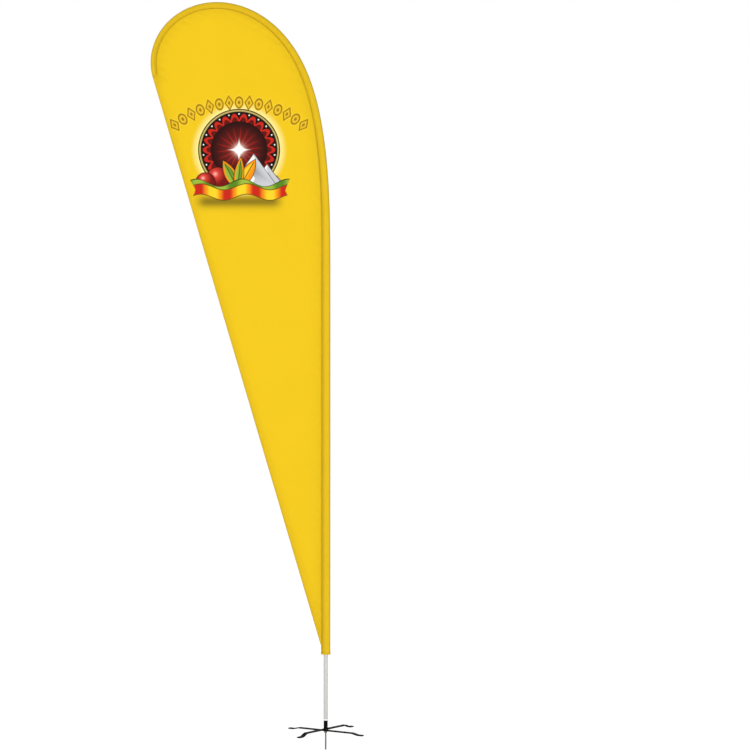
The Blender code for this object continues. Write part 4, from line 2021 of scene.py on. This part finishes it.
@dataclass
class Sleeve:
    """The doubled cloth tube round the pole, with its mouth and its pocket."""

    shape: SailShape
    around: int = 54
    wall: float = 0.0006
    layer_gap: float = 0.0006
    mouth_hem: float = 0.012
    pocket: float = 0.020
    pocket_press: float = 0.86

    def turns(self) -> Array:
        """Turns round the front from the outer edge to the seam, and back.

        Returns:
            The turns, as one row.
        """
        half = np.linspace(0.0, math.pi, self.around // 2 - 1)
        half = np.concatenate([half, [math.pi]])
        return np.concatenate([half, 2 * math.pi - half[::-1]])[None, :]

    def section(self, length: Array, turn: Array) -> tuple[Array, Array]:
        """The tube's section: the offset outwards and the depth.

        Between the outer edge and the seam line the offset is a cosine of
        the turn and the depth a sine, pinched near the seam by the square
        root of the distance from it, so that the two layers meet there at
        a sharp angle.  The last column on each side runs on flat to the
        sleeve's own edge.

        Args:
            length: arc lengths along the line, as a column.
            turn: turns round the tube, in radians.

        Returns:
            The offsets and the depths.
        """
        half, tab = self.shape.half_width(length), self.shape.tab(length)
        reach = half - tab / 2
        out = tab / 2 + reach * np.cos(turn)
        from_seam = (np.cos(turn) + 1) / 2
        pinch = np.sqrt(np.minimum(1.0, from_seam / 0.35))
        soft = 1 + 0.030 * np.sin(length * 21.0 + 2.0 * np.sin(length * 5.3))
        deep = half * self.shape.flatten * soft * np.sin(turn) * pinch
        side, last = self.sides()
        out = np.where(last, -half, out)
        return out, deep + side * self.layer_gap * (from_seam < 0.5)

    def sides(self) -> tuple[Array, Array]:
        """Which face each column is on, and which columns end on the edge.

        Returns:
            The sides and the end columns.
        """
        number = np.arange(self.around)
        side = np.where(number < self.around // 2, 1.0, -1.0)
        last = (number == self.around // 2 - 1) | (number == self.around // 2)
        return side[None, :], last[None, :]

    def tube(self, length: Array, swell: float, close: Array | float = 1.0) -> Array:
        """Places on the tube.

        Args:
            length: arc lengths, as a column or one for each turn.
            swell: how far the surface stands out from the plain tube.
            close: share of the depth that is left, for the pocket's end.

        Returns:
            Points of shape (lengths, turns, 3).
        """
        turn = self.turns()
        length = length + 0 * turn
        out, deep = self.section(length, turn)
        side, _ = self.sides()
        out = out + swell * np.sign(out) * (np.abs(np.cos(turn)) > 0.7)
        return self.shape.line.at(length, out, deep * close + side * swell * 0.6)

    def marks(self, length: Array) -> dict[str, Array]:
        """Numbers for the cloth: the painted shade by a fold, and over the crown.

        By the seam line and the outer edge the painted shade is a bell of
        the distance from it, with a wider and fainter bell by the seam.

        Args:
            length: arc lengths along the line, as a column.

        Returns:
            The numbers by name.
        """
        turn = self.turns()
        length = length + 0 * turn
        half, tab = self.shape.half_width(length), self.shape.tab(length)
        out, _ = self.section(length, turn)
        seam = out - (tab - half)
        # painted shade by the seam line and along the outer fold
        fold_shade = 0.06 * bell(seam, 0.0055) + 0.05 * bell(seam, 0.013)
        fold_shade += 0.66 * bell(half - out, 0.0044)
        # painted shade: darker the further the pole leans over, at the top of the bend
        crown_shade = np.clip(self.shape.line.heading(length) / 1.3, 0.0, 1.0)
        return {"fold_shade": np.clip(fold_shade, 0.0, 1.0), "crown_shade": crown_shade}

    def stations(self, start: float, end: float) -> Array:
        """Lengths from start to end, spaced 20 mm below and 8 mm in the bend.

        Args:
            start: the first length.
            end: the last length.

        Returns:
            The lengths, as a column.
        """
        below = np.arange(start, min(end, 0.0), 0.020)
        above = np.arange(max(start, 0.0), end, 0.008)
        found = np.concatenate([below, above, [end]])
        return found[np.concatenate([[True], np.diff(found) > 0.001])][:, None]

    def cloth_uv(self, length: Array) -> Array:
        """The unrolled cloth: across it round the tube, along it up the pole."""
        around = np.linspace(0.0, 0.115, self.turns().shape[1] + 1)[None, :]
        return np.stack(np.broadcast_arrays(around, length), axis=-1)

    def cloth_tube(self, name: str, length: Array, swell: float, extra: float) -> bpy.types.Object:
        """An open tube of cloth with its painted shade numbers and its thickness.

        Args:
            name: the piece's name.
            length: arc lengths along the line, as a column.
            swell: how far it stands out.
            extra: painted shade added everywhere.

        Returns:
            The tube.
        """
        marks = self.marks(length)
        marks["fold_shade"] = np.clip(marks["fold_shade"] + extra, 0.0, 1.0)
        flipped = {key: value[:, ::-1] for key, value in marks.items()}
        grid = self.tube(length, swell)[:, ::-1]
        uv = self.cloth_uv(length)
        piece = grid_object(name, grid, uv=uv, wrap=True, marks=flipped, sharp=180.0)
        add_thickness(piece, self.wall, 1.0)
        return piece

    def build(self, cloth: bpy.types.Material) -> None:
        """Build the tube, the mouth's hem and the tip pocket.

        Args:
            cloth: the cloth's material.
        """
        mouth = self.shape.line.length_at(size_of("mouth_hem")[0].z)
        end = self.shape.line.bend_length
        length = self.stations(mouth + 0.001, end - self.pocket)
        tube = self.cloth_tube("sleeve_cloth", length, 0.0, 0.0)
        place_piece(tube, cloth, Body.FLAG, Slot.SLEEVE, "pole_sleeve")
        length = np.linspace(mouth, mouth + self.mouth_hem, 7)[:, None]
        # the mouth's hem gets extra painted shade all over
        hem = self.cloth_tube("mouth_fold", length, 0.0007, 0.12)
        place_piece(hem, cloth, Body.FLAG, Slot.SLEEVE, "mouth_hem")
        self.build_pocket(cloth, end)

    def pressed(self, share: Array | float) -> Array | float:
        """The share of the depth left, a share of the way along the pocket."""
        return 1.0 - self.pocket_press * share**1.5

    def build_pocket(self, cloth: bpy.types.Material, end: float) -> None:
        """The pocket: the tube pressed flat and sewn shut on a slant.

        Args:
            cloth: the cloth's material.
            end: the arc length of the pole's end.
        """
        share = np.linspace(0.0, 1.0, 13)[:, None]
        slant = self.shape.end_slant * (1 - np.cos(self.turns())) / 2
        length = end - self.pocket + (self.pocket - slant) * share
        grid = self.tube(length, 0.0006, self.pressed(share))
        marks = self.marks(length)
        # painted shade that deepens towards the pocket's sewn end
        marks["fold_shade"] = np.clip(marks["fold_shade"] + 0.30 * share**6, 0.0, 1.0)
        pocket = grid_object(
            "tip_pocket_cloth", grid, uv=self.cloth_uv(length[:, :1]), wrap=True,
            cap=Cap.FLAT, marks=marks, sharp=60.0,
        )
        place_piece(pocket, cloth, Body.FLAG, Slot.SLEEVE, "tip_pocket")

    def seam_rows(self) -> list[tuple[Array, Array]]:
        """Two rows on each face, on the seam line and just outside it.

        Returns:
            Places and facing for each row.
        """
        mouth = self.shape.line.length_at(size_of("mouth_hem")[1].z)
        length = self.stations(mouth, self.shape.line.bend_length - self.pocket)[:, 0]
        half, tab = self.shape.half_width(length), self.shape.tab(length)
        found = []
        for face in Face:
            for share in (0.45, 0.95):
                depth = face.value * (self.layer_gap + self.wall + 0.0002 + 0.0006 * share)
                line = self.shape.line.at(length, tab * share - half, depth)
                found.append((line, face.facing(line)))
        return found

    def mouth_rows(self) -> list[tuple[Array, Array]]:
        """One row of stitches round the mouth, near the hem's upper edge.

        Returns:
            Places and facing for the row.
        """
        height = size_of("mouth_hem")[1].z - 0.0025
        length = np.array([[self.shape.line.length_at(height)]])
        ring = self.tube(length, 0.0018)[0]
        ring = np.concatenate([ring, ring[:1]])
        facing = ring * np.array([0.3, 1.0, 0.0])
        facing /= np.linalg.norm(facing, axis=1, keepdims=True) + 1e-9
        return [(ring, facing)]

    def pocket_rows(self) -> list[tuple[Array, Array]]:
        """Three close rows across the pocket's shut end, on each face.

        Returns:
            Places and facing for each row.
        """
        line = self.shape.line
        share_out = np.linspace(-0.80, 0.80, 24)
        found = []
        for face in Face:
            for back in (0.0035, 0.0060, 0.0085):
                slant = self.shape.end_slant * (1 - share_out) / 2
                length = line.bend_length - slant - back
                half, tab = self.shape.half_width(length), self.shape.tab(length)
                share = 1.0 - back / self.pocket
                turn = np.arccos(share_out)
                pinch = np.sqrt(np.minimum(1.0, (share_out + 1) / 0.70))
                depth = half * self.shape.flatten * np.sin(turn) * pinch
                depth = face.value * (depth * self.pressed(share) + 0.0011)
                out = tab / 2 + (half - tab / 2) * share_out
                row = line.at(length, out, depth)
                found.append((row, face.facing(row)))
        return found


@dataclass
class Sail:
    """The whole sail: panel, free-edge hem, sleeve and all the stitching."""

    line: PoleLine
    emblem_across: float = 0.506
    emblem_up: float = 0.776
    stitcher: Stitcher = field(default_factory=Stitcher)

    def build(self) -> None:
        """Build the cloth first and then sew it."""
        shape = SailShape(self.line)
        panel_maker = SailPanel(shape)
        low, high = size_of("sail_panel")
        emblem = Emblem(
            x=low.x + (high.x - low.x) * self.emblem_across,
            z=low.z + (high.z - low.z) * self.emblem_up,
        )
        panel = panel_maker.build(emblem)
        sleeve_cloth = SleeveCloth().make("sleeve_polyester_cloth")
        hem_maker = EdgeHem(shape)
        hem = hem_maker.build(sleeve_cloth)
        sleeve = Sleeve(shape)
        sleeve.build(sleeve_cloth)
        thread = Thread().make("yellow_thread")
        hem_thread = self.sew("free_edge_stitching", hem_maker.rows_of_stitches(), thread)
        self.sew("seam_stitching", sleeve.seam_rows(), thread)
        self.sew("mouth_stitching", sleeve.mouth_rows(), thread)
        self.sew("pocket_stitching", sleeve.pocket_rows(), thread)
        foot, head = shape.corners()
        tall = size_of("sail_panel")[1].z - shape.edge_foot_height
        panel_maker.flat_area()

    def sew(
        self, name: str, rows: list[tuple[Array, Array]], thread: bpy.types.Material
    ) -> bpy.types.Object:
        """Sew rows of stitches and let them ride with the sail."""
        piece = self.stitcher.sew(name, rows)
        return place_piece(piece, thread, Body.FLAG, Slot.SLEEVE)


# ---------------------------------------------------------------- the studio


@dataclass
class Studio:
    """A plain pale floor, soft light, and the camera."""

    floor_size: float = 60.0
    distance: float = 12.6
    frame_width: float = 4.2075
    aside: float = 0.2766
    eye_height: float = 2.0047
    sensor: float = 36.0
    sky_light: float = 0.72
    side_light: float = 0.16
    side_start: float = 0.55
    side_end: float = 0.92
    clearance: float = 0.002

    def build(self) -> None:
        """Set up the floor, the sky, the lamps and the camera."""
        self.build_floor()
        self.build_sky()
        self.build_lamp("key", (-3.4, -6.0, 5.2), 3.6, 158.0)
        self.build_lamp("fill", (2.4, -6.2, 0.6), 3.2, 172.0)
        self.build_lamp("back", (2.6, 6.0, 5.0), 3.6, 260.0)
        self.build_camera()
        scene = bpy.context.scene
        scene.view_settings.view_transform = "Standard"
        scene.view_settings.look = "None"

    def build_floor(self) -> None:
        """A wide pale floor just under the spike's point."""
        half = self.floor_size / 2
        ground = CAD_BOX[0].z - self.clearance
        step = np.linspace(-half, half, 2)
        x, y = np.meshgrid(step, step, indexing="ij")
        floor = grid_object("studio_floor", np.stack([x, y, ground + 0 * x], axis=-1))
        sketch = Sketch("pale_floor")
        cloud = sketch.noise(1.5, 3.0)
        sketch.set(
            Base_Color=sketch.paint(cloud, (0.15, 0.15, 0.15), (0.17, 0.17, 0.17)),
            Roughness=0.9,
            Specular_IOR_Level=0.0,
            Emission_Color=(1.0, 1.0, 1.0),
            Emission_Strength=0.93,
        )
        floor.data.materials.append(sketch.material)

    def build_sky(self) -> None:
        """White light that is weaker from the two sides, shown as plain white.

        The light from a direction falls from the sky's strength in front
        and behind to the side strength as the direction nears the X axis,
        as dark panels beside the set would make it.
        """
        world = bpy.data.worlds.new("studio_sky")
        bpy.context.scene.world = world
        world.use_nodes = True
        tree = world.node_tree
        sky = tree.nodes["Background"]
        source = tree.nodes.new("ShaderNodeTexCoord")
        split = tree.nodes.new("ShaderNodeSeparateXYZ")
        side = tree.nodes.new("ShaderNodeMath")
        side.operation = "ABSOLUTE"
        level = tree.nodes.new("ShaderNodeMapRange")
        level.interpolation_type = "SMOOTHSTEP"
        limits = {
            "From Min": self.side_start,
            "From Max": self.side_end,
            "To Min": self.sky_light,
            "To Max": self.side_light,
        }
        for key, value in limits.items():
            level.inputs[key].default_value = value
        shown = tree.nodes.new("ShaderNodeBackground")
        shown.inputs["Color"].default_value = (1.0, 1.0, 1.0, 1.0)
        ray = tree.nodes.new("ShaderNodeLightPath")
        mix = tree.nodes.new("ShaderNodeMixShader")
        tree.links.new(source.outputs["Generated"], split.inputs[0])
        tree.links.new(split.outputs["X"], side.inputs[0])
        tree.links.new(side.outputs[0], level.inputs["Value"])
        sky.inputs["Color"].default_value = (1.0, 1.0, 1.0, 1.0)
        tree.links.new(level.outputs[0], sky.inputs["Strength"])
        tree.links.new(ray.outputs["Is Camera Ray"], mix.inputs[0])
        tree.links.new(sky.outputs[0], mix.inputs[1])
        tree.links.new(shown.outputs[0], mix.inputs[2])
        tree.links.new(mix.outputs[0], tree.nodes["World Output"].inputs[0])

    def build_lamp(
        self, name: str, place: tuple[float, float, float], size: float, power: float
    ) -> None:
        """A square softbox that looks at the middle of the sail.

        Args:
            name: the lamp's name.
            place: where it hangs, in metres.
            size: the side of its square.
            power: its power in watts.
        """
        lamp = bpy.data.lights.new(name, "AREA")
        lamp.size = size
        lamp.energy = power
        holder = bpy.data.objects.new(name, lamp)
        holder.location = place
        aim = Vector((-0.3, 0.0, 2.2)) - Vector(place)
        holder.rotation_euler = aim.to_track_quat("-Z", "Y").to_euler()
        bpy.context.scene.collection.objects.link(holder)

    def build_camera(self) -> None:
        """A level camera in front of the sail, at half the flag's height."""
        camera = bpy.data.cameras.new("camera")
        camera.sensor_width = self.sensor
        camera.lens = self.sensor * self.distance / self.frame_width
        camera.clip_end = 200.0
        holder = bpy.data.objects.new("camera", camera)
        holder.location = (self.aside, -self.distance, self.eye_height)
        holder.rotation_euler = (math.radians(90.0), 0.0, 0.0)
        bpy.context.scene.collection.objects.link(holder)
        bpy.context.scene.camera = holder


def main() -> None:
    """Build the studio, the base, the pole and the sail, in that order."""
    logging.basicConfig(level=logging.INFO, format="%(name)s: %(message)s")
    Studio().build()
    CrossBase().build()
    Swivel().build()
    line = PoleLine()
    Pole(line).build()
    Sail(line).build()


if __name__ == "__main__":
    main()
